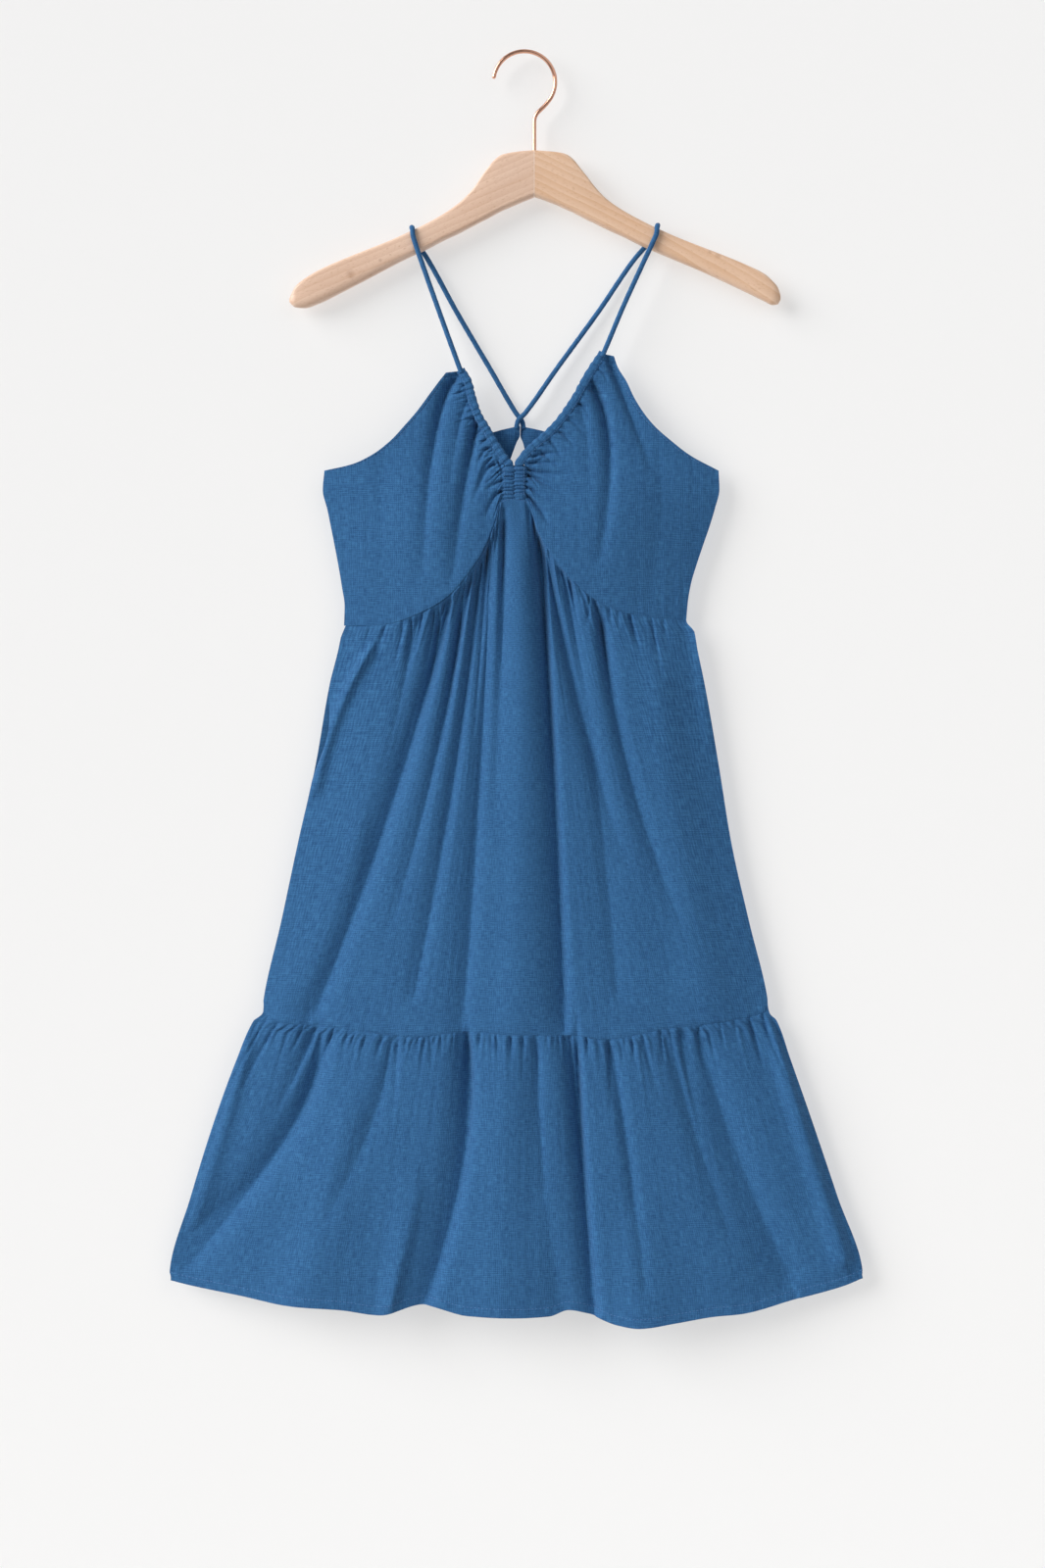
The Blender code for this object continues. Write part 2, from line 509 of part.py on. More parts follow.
def cloth(name, surface, rows, inward, material):
    """A wall of cloth: rows of points on its outer face, the same rows moved inward, and the edges between."""
    bm = bmesh.new()
    shells = []
    for shift in (0, inward * WALL):
        shell = []
        for down_share, shares in rows:
            x, down, depth = surface(shares, np.full(len(shares), down_share))
            shell.append([bm.verts.new(point) for point in place(x, down, depth + shift)])
        shells.append(shell)
    for shell, flip in zip(shells, (False, True)):
        for upper, lower in zip(shell, shell[1:]):
            lace(bm, upper, lower, flip)
    edges = []
    for shell in shells:
        left = [row[0] for row in shell]
        right = [row[-1] for row in shell]
        edges.append((shell[0], right, shell[-1], left))
    for outer_edge, inner_edge in zip(*edges):
        for k in range(len(outer_edge) - 1):
            bm.faces.new((outer_edge[k], outer_edge[k + 1], inner_edge[k + 1], inner_edge[k]))
    return finish_mesh(name, bm, material)


def even(count):
    return np.linspace(0, 1, count + 1)


def ruched_tube(name, path, ruches, wide, material, shift):
    """A casing drawn up on its cord: an oval tube with a swelling for each ruche."""
    bm = bmesh.new()
    count = 2 * ruches
    share = even(count)
    x, down = walk(path, share)
    nearby = 0.004
    ahead, behind = walk(path, np.clip(share + nearby, 0, 1)), walk(path, np.clip(share - nearby, 0, 1))
    across, along = ahead[0] - behind[0], ahead[1] - behind[1]
    length = np.hypot(across, along)
    swell = np.where(np.arange(count + 1) % 2 == 0, 0.84, 1.0)
    swell[[0, -1]] = 0.92
    lean = 0.35 * (uneven(count + 1, shift) - 1)
    rings = []
    for k in range(count + 1):
        angles = np.linspace(0, 2 * pi, 8, endpoint=False) + pi / 8
        out = wide / 2 * swell[k] * np.cos(angles) / cos(pi / 8)
        back = CASING_DEEP / 2 * swell[k] * np.sin(angles)
        slant = lean[k] * out * (0 < k < count)
        ring_x = x[k] + out * along[k] / length[k] + slant * across[k] / length[k]
        ring_down = down[k] - out * across[k] / length[k] + slant * along[k] / length[k]
        depth = front_depth(x[k], down[k]) + WALL / 2 + back
        rings.append([bm.verts.new(point) for point in place(ring_x, ring_down, depth)])
    for ring, other in zip(rings, rings[1:]):
        for k in range(8):
            bm.faces.new((ring[k], ring[(k + 1) % 8], other[(k + 1) % 8], other[k]))
    bm.faces.new(rings[0])
    bm.faces.new(rings[-1][::-1])
    return finish_mesh(name, bm, material)


def wire(name, points, radius, material):
    """A round wire or cord: a curve with a bevel and filled ends."""
    curve = bpy.data.curves.new(name, "CURVE")
    curve.dimensions = "3D"
    curve.bevel_depth = radius * MM
    curve.bevel_resolution = 2
    curve.use_fill_caps = True
    spline = curve.splines.new("POLY")
    spline.points.add(len(points) - 1)
    for spot, point in zip(spline.points, points):
        spot.co = (*point, 1)
    curve.materials.append(material)
    piece = bpy.data.objects.new(name, curve)
    bpy.context.collection.objects.link(piece)
    return piece


def strap_points(strap):
    """The route of a strap: up the front, a half turn over the arm, and down the back."""
    turn = np.radians([-90, -60, -30, 0, 0, 30, 60, 90])
    flat = ARM_LOOP["flat"] * np.array([-1, -1, -1, -1, 1, 1, 1, 1])
    over = {
        "x": strap["arm"] - np.sign(strap["arm"]) * np.abs(np.sin(turn)),
        "down": strap["seat"] + ARM_LOOP["drop"] * (1 - np.cos(turn)),
        "depth": flat + ARM_LOOP["round"] * np.sin(turn),
    }
    route = joined(strap["front"], over, strap["back"])
    run = lengths(route) / lengths(route)[-1]
    loop_start = run[len(strap["front"]["x"])]
    loop_end = run[len(strap["front"]["x"]) + len(turn) - 1]
    shares = [np.linspace(*span, STRAP_POINTS[part], endpoint=False) for part, span in (
        ("front", (0, loop_start)), ("loop", (loop_start, loop_end)), ("back", (loop_end, 1)))]
    return place(*walk(route, np.concatenate((*shares, [1.0]))))


def hook_points():
    """The hook: most of a ring from its tip over the seat, then an easy bend into the straight shank."""
    angles = np.radians(np.linspace(HOOK["start"], HOOK["end"], HOOK_ARC_POINTS))
    ring_x = HOOK["x"] + HOOK["radius"] * np.cos(angles)
    ring_down = HOOK["down"] - HOOK["radius"] * np.sin(angles)
    reach = 0.5 * (HOOK["bend_down"] - ring_down[-1])
    leave = (ring_x[-1] + reach * sin(angles[-1]) * 1.3, ring_down[-1] + reach * cos(angles[-1]) * 1.3)
    arrive = (MITRE["x"], HOOK["bend_down"] - reach)
    s = np.linspace(0, 1, HOOK_BEND_POINTS + 1)[1:]
    bend = [((1 - s) ** 3 * start + 3 * s * (1 - s) ** 2 * first + 3 * s ** 2 * (1 - s) * second + s ** 3 * finish)
            for start, first, second, finish in zip(
                (ring_x[-1], ring_down[-1]), leave, arrive, (MITRE["x"], HOOK["bend_down"]))]
    x = np.concatenate((ring_x, bend[0], [MITRE["x"]]))
    down = np.concatenate((ring_down, bend[1], [HOOK["foot"]]))
    return place(x, down, 0.0)


def hanger_arm(name, side, material):
    """Half of the hanger: a ring of points at each section, with chamfered edges."""
    bm = bmesh.new()
    rings = []
    for out, top, bottom, thick, under in zip(*ARMS["left" if side < 0 else "right"].values()):
        x = MITRE["x"] + side * (out + MITRE["gap"] / 2)
        chamfer = min(ARM_CHAMFER, (bottom - top) / 3, thick / 3)
        half = thick / 2
        depth = np.array([chamfer - half, half - chamfer, half, half, half - chamfer, chamfer - half, -half, -half])
        under = min(max(under, chamfer), (bottom - top) / 3)
        down = np.array([top, top, top + chamfer, bottom - chamfer, bottom, bottom, bottom - under, top + chamfer])
        rings.append([bm.verts.new(point) for point in place(x, down, depth)])
    for ring, other in zip(rings, rings[1:]):
        for k in range(8):
            bm.faces.new((ring[k], ring[(k + 1) % 8], other[(k + 1) % 8], other[k]))
    bm.faces.new(rings[0])
    bm.faces.new(rings[-1][::-1])
    return finish_mesh(name, bm, material)


def finish(name, colour, roughness, metallic=0.0):
    material = bpy.data.materials.new(name)
    material.use_nodes = True
    shader = material.node_tree.nodes["Principled BSDF"]
    shader.inputs["Base Color"].default_value = (*colour, 1)
    shader.inputs["Roughness"].default_value = roughness
    shader.inputs["Metallic"].default_value = metallic
    return material


def build_hanger():
    beech = finish("beech_wood", BEECH, 0.5)
    hanger_arm("hanger_arm_left", -1, beech)
    hanger_arm("hanger_arm_right", 1, beech)
    wire("hanger_hook", hook_points(), WIRE_RADIUS, finish("rose_gold_wire", ROSE_GOLD, 0.25, 1.0))


def build_bodice(linen):
    columns = np.array([0, 0.05, 0.12, 0.22, 0.36, 0.52, 0.70, 0.86, 1])
    cup_rows = [(v, columns) for v in ticks(CUP_GATHERS)[:-1]] + [(1.0, even(32))]
    keyhole_shares = (KEYHOLE["down"] - KEYHOLE["down"][0]) / np.ptp(KEYHOLE["down"])
    back_shares = np.concatenate((keyhole_shares[:-1], [0.72, 0.86, 1.0]))
    back_rows = [(v, ticks(BACK_TOP_GATHERS) if v < 0.25 else even(10)) for v in back_shares]
    tab_path = lambda centre: {"x": np.full(4, centre), "down": np.linspace(TAB["top"], TAB["bottom"], 4)}
    for side, word, neck in ((-1, "left", NECK_LEFT), (1, "right", NECK_RIGHT)):
        cloth("front_cup_" + word, lambda out, v, s=side: cup(s, out, v), cup_rows, 1, linen)
        cloth("back_bodice_" + word, lambda out, v, s=side: back_bodice(s, out, v), back_rows, -1, linen)
        neck_path = beside(resampled(neck), side * CASING_WIDE / 2)
        ruched_tube("neck_casing_" + word, neck_path, 15, CASING_WIDE, linen, side)
        tab_edge = TAB[word]
        wide = abs(tab_edge - TAB["centre"]) - SEAM_GAP / 2
        centre = (tab_edge + TAB["centre"] + side * SEAM_GAP / 2) / 2
        ruched_tube("centre_casing_" + word, tab_path(centre), 8, wide, linen, 2 * side)


def build_skirt(linen):
    rows = [(v, ticks(BUST_GATHERS)) for v in (0, 0.02, 0.06, 0.13, 0.22)]
    rows += [(v, even(64)) for v in (0.32, 0.42, 0.53, 0.65, 0.77, 0.89, 1)]
    cloth("skirt_front", skirt_front, rows, 1, linen)
    rows = [(v, ticks(BACK_BUST_GATHERS)) for v in (0, 0.03, 0.1, 0.22)]
    rows += [(v, even(40)) for v in (0.4, 0.6, 0.8, 1)]
    cloth("skirt_back", skirt_back, rows, -1, linen)
    rows = [(v, ticks(TIER_GATHERS)) for v in (0, 0.03, 0.1, 0.22)]
    rows += [(v, even(60)) for v in (0.42, 0.62, 0.82, 1)]
    cloth("ruffle_front", ruffle_front, rows, 1, linen)
    rows = [(v, ticks(BACK_TIER_GATHERS)) for v in (0, 0.05, 0.18)]
    rows += [(v, even(48)) for v in (0.45, 0.75, 1)]
    cloth("ruffle_back", ruffle_back, rows, -1, linen)


def main():
    for old in list(bpy.data.objects):
        bpy.data.objects.remove(old)
    linen = finish("blue_linen", CLOTH_BLUE, 0.85)
    build_hanger()
    build_bodice(linen)
    build_skirt(linen)
    wire("strap_left", strap_points(STRAP_LEFT), STRAP_RADIUS, linen)
    wire("strap_right", strap_points(STRAP_RIGHT), STRAP_RADIUS, linen)


main()
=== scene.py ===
# %% [markdown]
# # A tiered summer dress on a wooden hanger
#
# The real thing is a knee-length dress of washed blue linen. Its neckline is a casing drawn up on a cord,
# two thin rouleau straps go over the arms of a hanger and cross behind, and a gathered ruffle closes the
# skirt. The frame holds plain solids of every piece. This file gives each of them its fine shape and its
# finish. It loads the frame first.

# %% Load the frame
from math import cos, pi, radians, sin

import bpy
import numpy as np
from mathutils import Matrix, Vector


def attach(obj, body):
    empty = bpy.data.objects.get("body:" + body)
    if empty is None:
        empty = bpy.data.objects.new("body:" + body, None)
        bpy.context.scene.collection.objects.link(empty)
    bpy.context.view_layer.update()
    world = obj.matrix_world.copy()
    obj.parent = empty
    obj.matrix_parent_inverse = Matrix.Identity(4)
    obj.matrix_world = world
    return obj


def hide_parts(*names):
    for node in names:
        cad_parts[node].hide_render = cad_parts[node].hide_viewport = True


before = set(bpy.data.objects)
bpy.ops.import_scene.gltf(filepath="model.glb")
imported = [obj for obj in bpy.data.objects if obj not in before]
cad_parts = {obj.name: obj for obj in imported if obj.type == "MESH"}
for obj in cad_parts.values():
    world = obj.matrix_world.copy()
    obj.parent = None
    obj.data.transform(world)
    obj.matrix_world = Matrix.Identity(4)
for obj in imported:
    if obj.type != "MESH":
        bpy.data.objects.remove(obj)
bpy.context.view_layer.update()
print("pieces in the frame:", len(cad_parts))


# %% [markdown]
# ## Sizes
#
# A dress on a hanger is easiest to measure in its front view, so every size here is in millimetres: x to
# the right of the place where the hook hangs, down from that place, and depth, which is negative towards
# the viewer. A short table with named columns holds each outline. One function turns such points into
# metres.

# %% Tables and units
MM = 0.001


def table(columns, *rows):
    """A short table with named columns, one row for each section, corner or fold."""
    return dict(zip(columns.split(), np.array(rows, dtype=float).T))


def place(x, down, depth):
    """Front-view millimetres as points in metres, +Z up."""
    x, depth, down = np.broadcast_arrays(x, depth, down)
    return np.stack([x, depth, -down], axis=-1) * MM


CLOTH = 1.2               # linen with its fluff and its rolled gathers, front to back
SEAM_DEPTH = CLOTH + 0.1  # the outer face of either side at a side seam
TUCK = 2.0                # how far an edge goes on under the piece that it is sewn to
ROUNDNESS = 2.6           # how boxy the dress is across: 2 would be an ellipse

# The two side edges of the dress, and how far its front and back stand off the side seams
OUTLINE = table(
    "down left right front back",
    (275, -184.5, 177.3, 7, 4.5), (340, -184.5, 177.3, 12, 5), (383.4, -184.5, 177.3, 14, 5),
    (397, -186.3, 178.2, 15, 5), (419, -181.8, 173.7, 15.5, 5), (455, -174.6, 162, 16, 5),
    (491, -168.3, 151.2, 16, 5), (521, -165, 147.6, 16, 5), (528, -167.4, 153.9, 16, 5),
    (549, -172, 158, 17, 6), (581, -180, 164.7, 20, 6), (653, -192.6, 177.3, 22, 7),
    (725, -208.8, 189, 23, 7), (797, -224.1, 205.2, 23, 7), (869, -240.3, 222.3, 22, 7),
    (880, -241.5, 223.5, 22, 7), (888, -249.3, 230.4, 22, 7), (923, -264.6, 243, 24, 8),
    (977, -284.4, 261.9, 26, 8), (1049, -306.9, 286.2, 28, 9), (1121, -326.7, 309.6, 30, 9),
    (1166, -328, 311, 30, 9))
BUST = table("x down rise across tall", (-86, 432, 7, 48, 52), (74, 428, 5, 58, 56))
print("hem width in mm:", OUTLINE["right"][-1] - OUTLINE["left"][-1])


# %% [markdown]
# ## Reading a smooth line through a few points
#
# A pattern maker draws an armhole through a handful of marks with a French curve. A monotone cubic does
# the same: it passes through every mark and never bulges past the marks on either side, so no edge
# wobbles. `walk` then reads points at even shares of a path's length, and `beside` draws a seam allowance
# next to it.

# %% Smooth curves
def smooth(at, x, y):
    """Read a table between its rows."""
    x, y = np.asarray(x, dtype=float), np.asarray(y, dtype=float)
    slope = np.diff(y) / np.diff(x)
    before, after = slope[:-1], slope[1:]
    turning = before * after <= 0
    mean = 2 * before * after / np.where(turning, 1, before + after)
    tangent = np.concatenate(([slope[0]], np.where(turning, 0, mean), [slope[-1]]))
    at = np.clip(at, x[0], x[-1])
    i = np.clip(np.searchsorted(x, at, side="right") - 1, 0, len(x) - 2)
    width = x[i + 1] - x[i]
    s = (at - x[i]) / width
    ease = s * s * (3 - 2 * s)
    lean = (1 - s) * tangent[i] - s * tangent[i + 1]
    return y[i] + (y[i + 1] - y[i]) * ease + width * s * (1 - s) * lean


def lengths(path):
    """How far along a path each of its rows lies."""
    steps = np.sqrt(sum(np.diff(column) ** 2 for column in path.values()))
    return np.concatenate(([0], np.cumsum(steps)))


def walk(path, share):
    """Points at shares of the length of a path, one array for each column."""
    run = lengths(path)
    return tuple(smooth(np.asarray(share) * run[-1], run, column) for column in path.values())


def resampled(path, count=60):
    return dict(zip(path, walk(path, np.linspace(0, 1, count + 1))))


def beside(path, away):
    """A path moved sideways in the front view, to the right if it runs down and away is positive."""
    across, down = np.gradient(path["x"]), np.gradient(path["down"])
    length = np.hypot(across, down)
    return {"x": path["x"] + away * down / length, "down": path["down"] - away * across / length}


def joined(*paths):
    return {name: np.concatenate([path[name] for path in paths]) for name in paths[0]}


# %% [markdown]
# ## The seams and edges
#
# These are the lines that a maker would chalk: the two edges of the neckline, the armholes, the curved
# seam under the bust, the tier seam and the hem. `GRAIN` says where a lengthwise thread of the skirt ends
# up at the tier seam, because the cloth fans out from the gathered middle.

# %% Edges of the panels
NECK_LEFT = table(
    "x down", (-55.8, 289.5), (-48.6, 302.4), (-45.2, 315.9), (-40.8, 329.4), (-32.6, 344), (-25.5, 356),
    (-16, 371), (-11.6, 376.4), (-10.7, 379.2), (-10.7, 381.2))
NECK_RIGHT = table(
    "x down", (67.5, 273.6), (57.6, 288.9), (49.5, 302.4), (42.3, 315.9), (33.3, 329.4), (22.5, 342.9),
    (-0.9, 364.5), (-7.9, 373.4), (-9.7, 376.8), (-10.1, 379.2), (-10.1, 381.2))
ARMHOLE_LEFT = table(
    "x down", (-72.9, 294.3), (-79.2, 302.4), (-89.1, 315.9), (-99, 329.4), (-110.7, 342.9),
    (-123.3, 356.4), (-141.3, 369.9), (-159.3, 378), (-184.5, 383.4))
ARMHOLE_RIGHT = table(
    "x down", (81, 279), (84.6, 288.9), (92.7, 302.4), (99, 315.9), (107.1, 329.4), (117.9, 342.9),
    (133.2, 356.4), (151.2, 369.9), (177.3, 383.4))
CASING = {"wide": 8.6, "deep": 5.0}
TAB = {"left": -20.7, "centre": -10.4, "right": -0.1, "top": 382.3, "bottom": 408.0}
BUST_SEAM = table(
    "x down", (-165, 525.6), (-145, 525.6), (-125, 524.3), (-96.3, 514.8), (-70.2, 499.5), (-51.3, 477.9),
    (-37.8, 457.2), (-27.9, 432.9), (-21.5, 412), (-10.4, 409), (0.8, 412), (11.7, 441), (27.9, 467.6),
    (46.4, 488.7), (67.5, 504.5), (93.6, 514.8), (130.5, 519.8), (147.6, 520.6))
SEAM_ROW_AT_TAB = {-1: 8, 1: 10}
BACK_WAIST = table("x down", (-165, 525.6), (-10, 523), (147.6, 520.6))
GRAIN = table(
    "seam tier", (0, 0), (0.09, 0.04), (0.165, 0.07), (0.235, 0.14), (0.30, 0.225), (0.36, 0.30),
    (0.42, 0.36), (0.475, 0.40), (0.525, 0.60), (0.58, 0.64), (0.64, 0.70), (0.70, 0.775), (0.765, 0.86),
    (0.835, 0.93), (0.91, 0.96), (1, 1))
TIER_SEAM = table(
    "x down", (-240.7, 880.2), (-232, 885.6), (-221.4, 890), (-188, 891.5), (-139.5, 898.2),
    (-100.8, 901.6), (-54.9, 896.8), (-8, 900), (42.3, 900.2), (73.8, 904), (124.2, 895.5), (160.2, 891),
    (208.8, 884), (223.2, 878.6))
HEM = table(
    "x down", (-325.5, 1126.5), (-307.8, 1130.4), (-261.9, 1138.5), (-221.4, 1146), (-167.4, 1150.2),
    (-133, 1154.7), (-93.6, 1145.7), (-52, 1154.7), (-5.4, 1156.5), (21.6, 1155.6), (39.6, 1150.2),
    (57.6, 1153.8), (83.7, 1163.3), (102.6, 1166), (136.8, 1161.9), (172.8, 1156.5), (196.7, 1154.7),
    (244.8, 1143), (290.7, 1131.5), (309.6, 1124.5))
BACK_HEM_SHORTER = 4.0
POCKET = {"top": 578, "bottom": 668, "open": 6.5}
print("seam under the bust in mm:", round(lengths(BUST_SEAM)[-1]))


# %% [markdown]
# ## The large folds
#
# A garment that hangs empty falls into a few long soft folds. Each row here is one of them, a bent line
# with the depth at either end and a half width on its left and on its right. Hanging cloth falls like a
# breaking wave: a slow slope that ends in a steep one. So the widths differ, and each fold shows a shaded
# side and a bright edge. A negative depth is a ridge that comes towards the viewer.

# %% Long folds
FOLD_COLUMNS = "x0 d0 x1 d1 x2 d2 deep0 deep1 left right"
CUP_FOLDS = table(
    FOLD_COLUMNS,
    (-62.5, 298, -82, 350, -94, 478, 9, 1, 5.5, 4), (-41.5, 333, -54, 390, -66, 482, 9, 1, 5, 4),
    (59.5, 302, 77, 366, 68, 466, 9, 1, 5, 4), (76, 284, 92, 322, 116, 386, 5.5, 0.5, 3, 7),
    (-52, 318, -60, 342, -68, 392, 2.5, 0.5, 4, 2.5), (48, 322, 56, 352, 58, 400, 1.8, 0.5, 5, 5),
    (-128, 372, -132, 430, -128, 500, 1.2, 0.8, 14, 12), (122, 366, 124, 430, 112, 500, 1.2, 0.8, 12, 14))
SKIRT_FOLDS = table(
    FOLD_COLUMNS,
    (-72, 512, -122, 690, -193, 882, 8.5, 7, 12, 6), (-57.4, 500, -80, 640, -122, 800, 7.5, 0.5, 6, 3.5),
    (-42.7, 470, -63, 650, -101, 862, 7.5, 2.5, 6.5, 4), (-32, 452, -41, 660, -57, 890, 6.5, 4.5, 10, 5),
    (-20.5, 432, -22, 540, -28, 700, 6, 1, 4.5, 3), (11.5, 436, 25.5, 655, 36, 897, 9.5, 8.5, 9, 3.2),
    (20, 464, 47, 590, 92, 745, 9.5, 0.5, 6.5, 4), (69, 512, 92, 650, 142, 800, 8, 0.5, 6, 6),
    (38, 480, 62, 640, 84, 860, 3, 2, 7, 8), (-98, 516, -106, 556, -120, 620, 4, 0.5, 4, 4),
    (-140, 545, -171, 605, -192, 674, -4.5, -3, 6, 4.5), (152, 524, 160, 552, 170, 640, -4, -0.5, 6, 5),
    (-5, 450, -4, 690, -12, 890, -3, -4, 14, 20), (120, 560, 138, 700, 168, 880, -2, -2.5, 16, 18),
    (-150, 700, -172, 800, -222, 890, -2, -3, 18, 14))
RUFFLE_FOLDS = table(
    FOLD_COLUMNS,
    (-188, 893, -216, 990, -311, 1104, 8, 9, 13, 7), (-176, 896, -196, 955, -224, 1040, 4.5, 0.5, 6, 6),
    (-122, 902, -140, 980, -184, 1070, 4, 1.5, 9, 8), (-52, 898, -57, 1020, -94, 1150, 10.5, 8, 15, 4.5),
    (-124, 1152, -112, 1100, -100, 1040, -5, -1.5, 12, 6), (10, 902, 12, 960, 18, 1040, 4, 1, 8, 3),
    (47.5, 901, 52, 1010, 63, 1152, 12.5, 8, 9, 3), (20, 1060, 26, 1100, 34, 1154, 0.5, 4, 12, 14),
    (76, 906, 91, 990, 109, 1130, 5, 1.5, 5, 5), (102, 1060, 104, 1110, 106, 1166, -2, -5, 16, 26),
    (131, 897, 152, 980, 186, 1080, 4.5, 1, 8, 5), (160, 900, 190, 1000, 240, 1118, 6, 7, 20, 13),
    (222, 884, 254, 985, 292, 1104, -5, -4.5, 9, 6), (-252, 900, -276, 985, -312, 1100, -4, -2.5, 10, 7),
    (-16, 905, -20, 1020, -24, 1150, -3, -4, 22, 24),
    (-160, 960, -176, 1040, -206, 1146, -2.5, -5, 18, 24))
BACK_FOLDS = table(
    FOLD_COLUMNS,
    (-120, 528, -142, 680, -178, 876, 4, 3.5, 6, 11), (-62, 528, -72, 690, -94, 884, 4.5, 4, 10, 4),
    (-20, 528, -22, 700, -30, 888, 4, 4, 5, 9), (34, 528, 44, 700, 58, 890, 4.5, 4, 11, 4),
    (92, 524, 112, 690, 142, 884, 4, 3.5, 6, 10), (-190, 900, -214, 1020, -240, 1140, 4, 4.5, 14, 6),
    (-96, 904, -110, 1020, -124, 1146, 4.5, 6, 7, 18), (-12, 902, -14, 1020, -12, 1150, 4.5, 6, 16, 6),
    (78, 904, 90, 1030, 104, 1158, 4, 6, 7, 18), (170, 892, 190, 1010, 216, 1146, 4, 4.5, 16, 7))


FOLD_GROWTH = 1.28        # the depths in the tables look too shallow in this light, so all of them grow


def along_bend(x, down, x0, d0, x1, d1, x2, d2, steps=10):
    """How far along a bent line its nearest point lies, and its distance, negative on the left."""
    share = np.linspace(0, 1, steps + 1)
    bend_x, bend_d = 2 * x1 - (x0 + x2) / 2, 2 * d1 - (d0 + d2) / 2
    path_x = (1 - share) ** 2 * x0 + 2 * share * (1 - share) * bend_x + share ** 2 * x2
    path_d = (1 - share) ** 2 * d0 + 2 * share * (1 - share) * bend_d + share ** 2 * d2
    nearest = np.full(x.shape, np.inf)
    along, side = np.zeros(x.shape), np.ones(x.shape)
    for k in range(steps):
        run_x, run_d = path_x[k + 1] - path_x[k], path_d[k + 1] - path_d[k]
        off_x, off_d = x - path_x[k], down - path_d[k]
        t = np.clip((off_x * run_x + off_d * run_d) / (run_x ** 2 + run_d ** 2), 0, 1)
        gap = np.hypot(off_x - t * run_x, off_d - t * run_d)
        closer = gap < nearest
        along = np.where(closer, (k + t) / steps, along)
        side = np.where(closer, np.where((off_x * run_d - off_d * run_x) * np.sign(run_d) < 0, -1, 1), side)
        nearest = np.minimum(gap, nearest)
    return along, nearest * side


def folded(x, down, folds, power=1.35):
    """How far the folds of a table move the cloth away from the viewer's side."""
    x, down = np.broadcast_arrays(x, down)
    total = np.zeros(x.shape)
    for x0, d0, x1, d1, x2, d2, deep0, deep1, left, right in zip(*folds.values()):
        along, gap = along_bend(x, down, x0, d0, x1, d1, x2, d2)
        wide = np.where(gap < 0, left, right) * (0.75 + 0.6 * along)
        deep = (deep1 + (deep0 - deep1) * (1 - along) ** 0.8) * np.minimum(1, 0.45 + 8 * along)
        round_top = power if deep0 > 0 else 2.0
        total += deep * np.exp(-np.abs(gap / wide) ** round_top)
    return FOLD_GROWTH * total


for title, folds in (("skirt", SKIRT_FOLDS), ("ruffle", RUFFLE_FOLDS), ("back", BACK_FOLDS)):
    print("long folds,", title, len(folds["x0"]))


# %% [markdown]
# ## The sharp creases
#
# Where cloth is drawn up on a thread, its folds are not even: each has a slow wall on one side and a
# steep wall on the other, and it dies out after a few centimetres. A crease here has a half width on its
# left and one on its right, so a lit edge stands beside a dark one, as at the foot of the neckline.
# Creases run from their start, where they are deepest, to their end. They are placed one by one, because
# no rule gives the way that this dress happens to hang.

# %% Creases
CREASE_COLUMNS = "x0 d0 x1 d1 x2 d2 deep left right"
CUP_CREASES = table(
    CREASE_COLUMNS,
    (-25.6, 376, -22.5, 382, -20.8, 390, 2.4, 1, 1.2), (-26.5, 379, -37.5, 387, -48, 416, 3.6, 1.8, 2.2),
    (-30, 372, -38, 382, -43, 400, 2.6, 1.4, 1.4), (-34, 364, -41, 372, -46, 390, 2.4, 1.6, 1.4),
    (-26.2, 385.6, -23, 388, -20.5, 391.4, 1.5, 0.9, 0.9),
    (-21, 394.2, -27, 396.4, -38, 404, 3, 1.6, 1.3), (-21, 404, -28.6, 409.2, -37, 430, 3.8, 1.8, 1.5),
    (-21, 409.2, -23.6, 412.6, -26.5, 418, 1.6, 1, 1), (-37, 345, -44, 350, -53, 361, 1.9, 1.5, 1.3),
    (-44.5, 322, -52, 325, -60, 336, 1.8, 1.4, 1.2), (-42.5, 334, -49, 337, -54, 344, 1.6, 1.2, 1.2),
    (-33.5, 354, -39, 358, -44, 366, 1.8, 1.2, 1.2), (-27, 364, -33, 368, -39, 378, 1.6, 1.3, 1.1),
    (-53, 305, -58, 308, -62, 315, 1.4, 1.1, 1.1), (1.6, 382.2, 14, 386.4, 41, 388.6, 4, 2.2, 1.7),
    (-0.8, 389.2, 12, 392.6, 39, 409, 4.4, 2, 2), (3, 378, 16, 377, 38, 378, 2.8, 1.8, 1.5),
    (7, 372, 18, 369, 36, 368, 2.8, 1.7, 1.5), (-0.8, 394.8, 2, 395.2, 6, 397, 1.3, 0.9, 0.9),
    (-0.6, 399.4, 8, 403, 20, 412, 3, 1.6, 1.3), (-0.6, 406.4, 11, 417, 24, 438, 4.2, 2, 1.6),
    (5.5, 380, 14, 374, 22, 372, 1.2, 1.1, 1.1), (21, 357, 28, 364, 34, 376, 1.9, 1.4, 1.5),
    (30, 349, 38, 354, 46, 366, 1.9, 1.3, 1.4), (38, 338, 46, 342, 52, 350, 1.7, 1.2, 1.3),
    (47, 322, 54, 327, 58, 336, 1.7, 1.2, 1.2), (57, 305, 63, 310, 66, 318, 1.5, 1.1, 1.1),
    (66, 291, 72, 296, 75, 304, 1.4, 1.1, 1.1), (13, 366, 22, 374, 34, 384, 1.5, 1.4, 1.4))
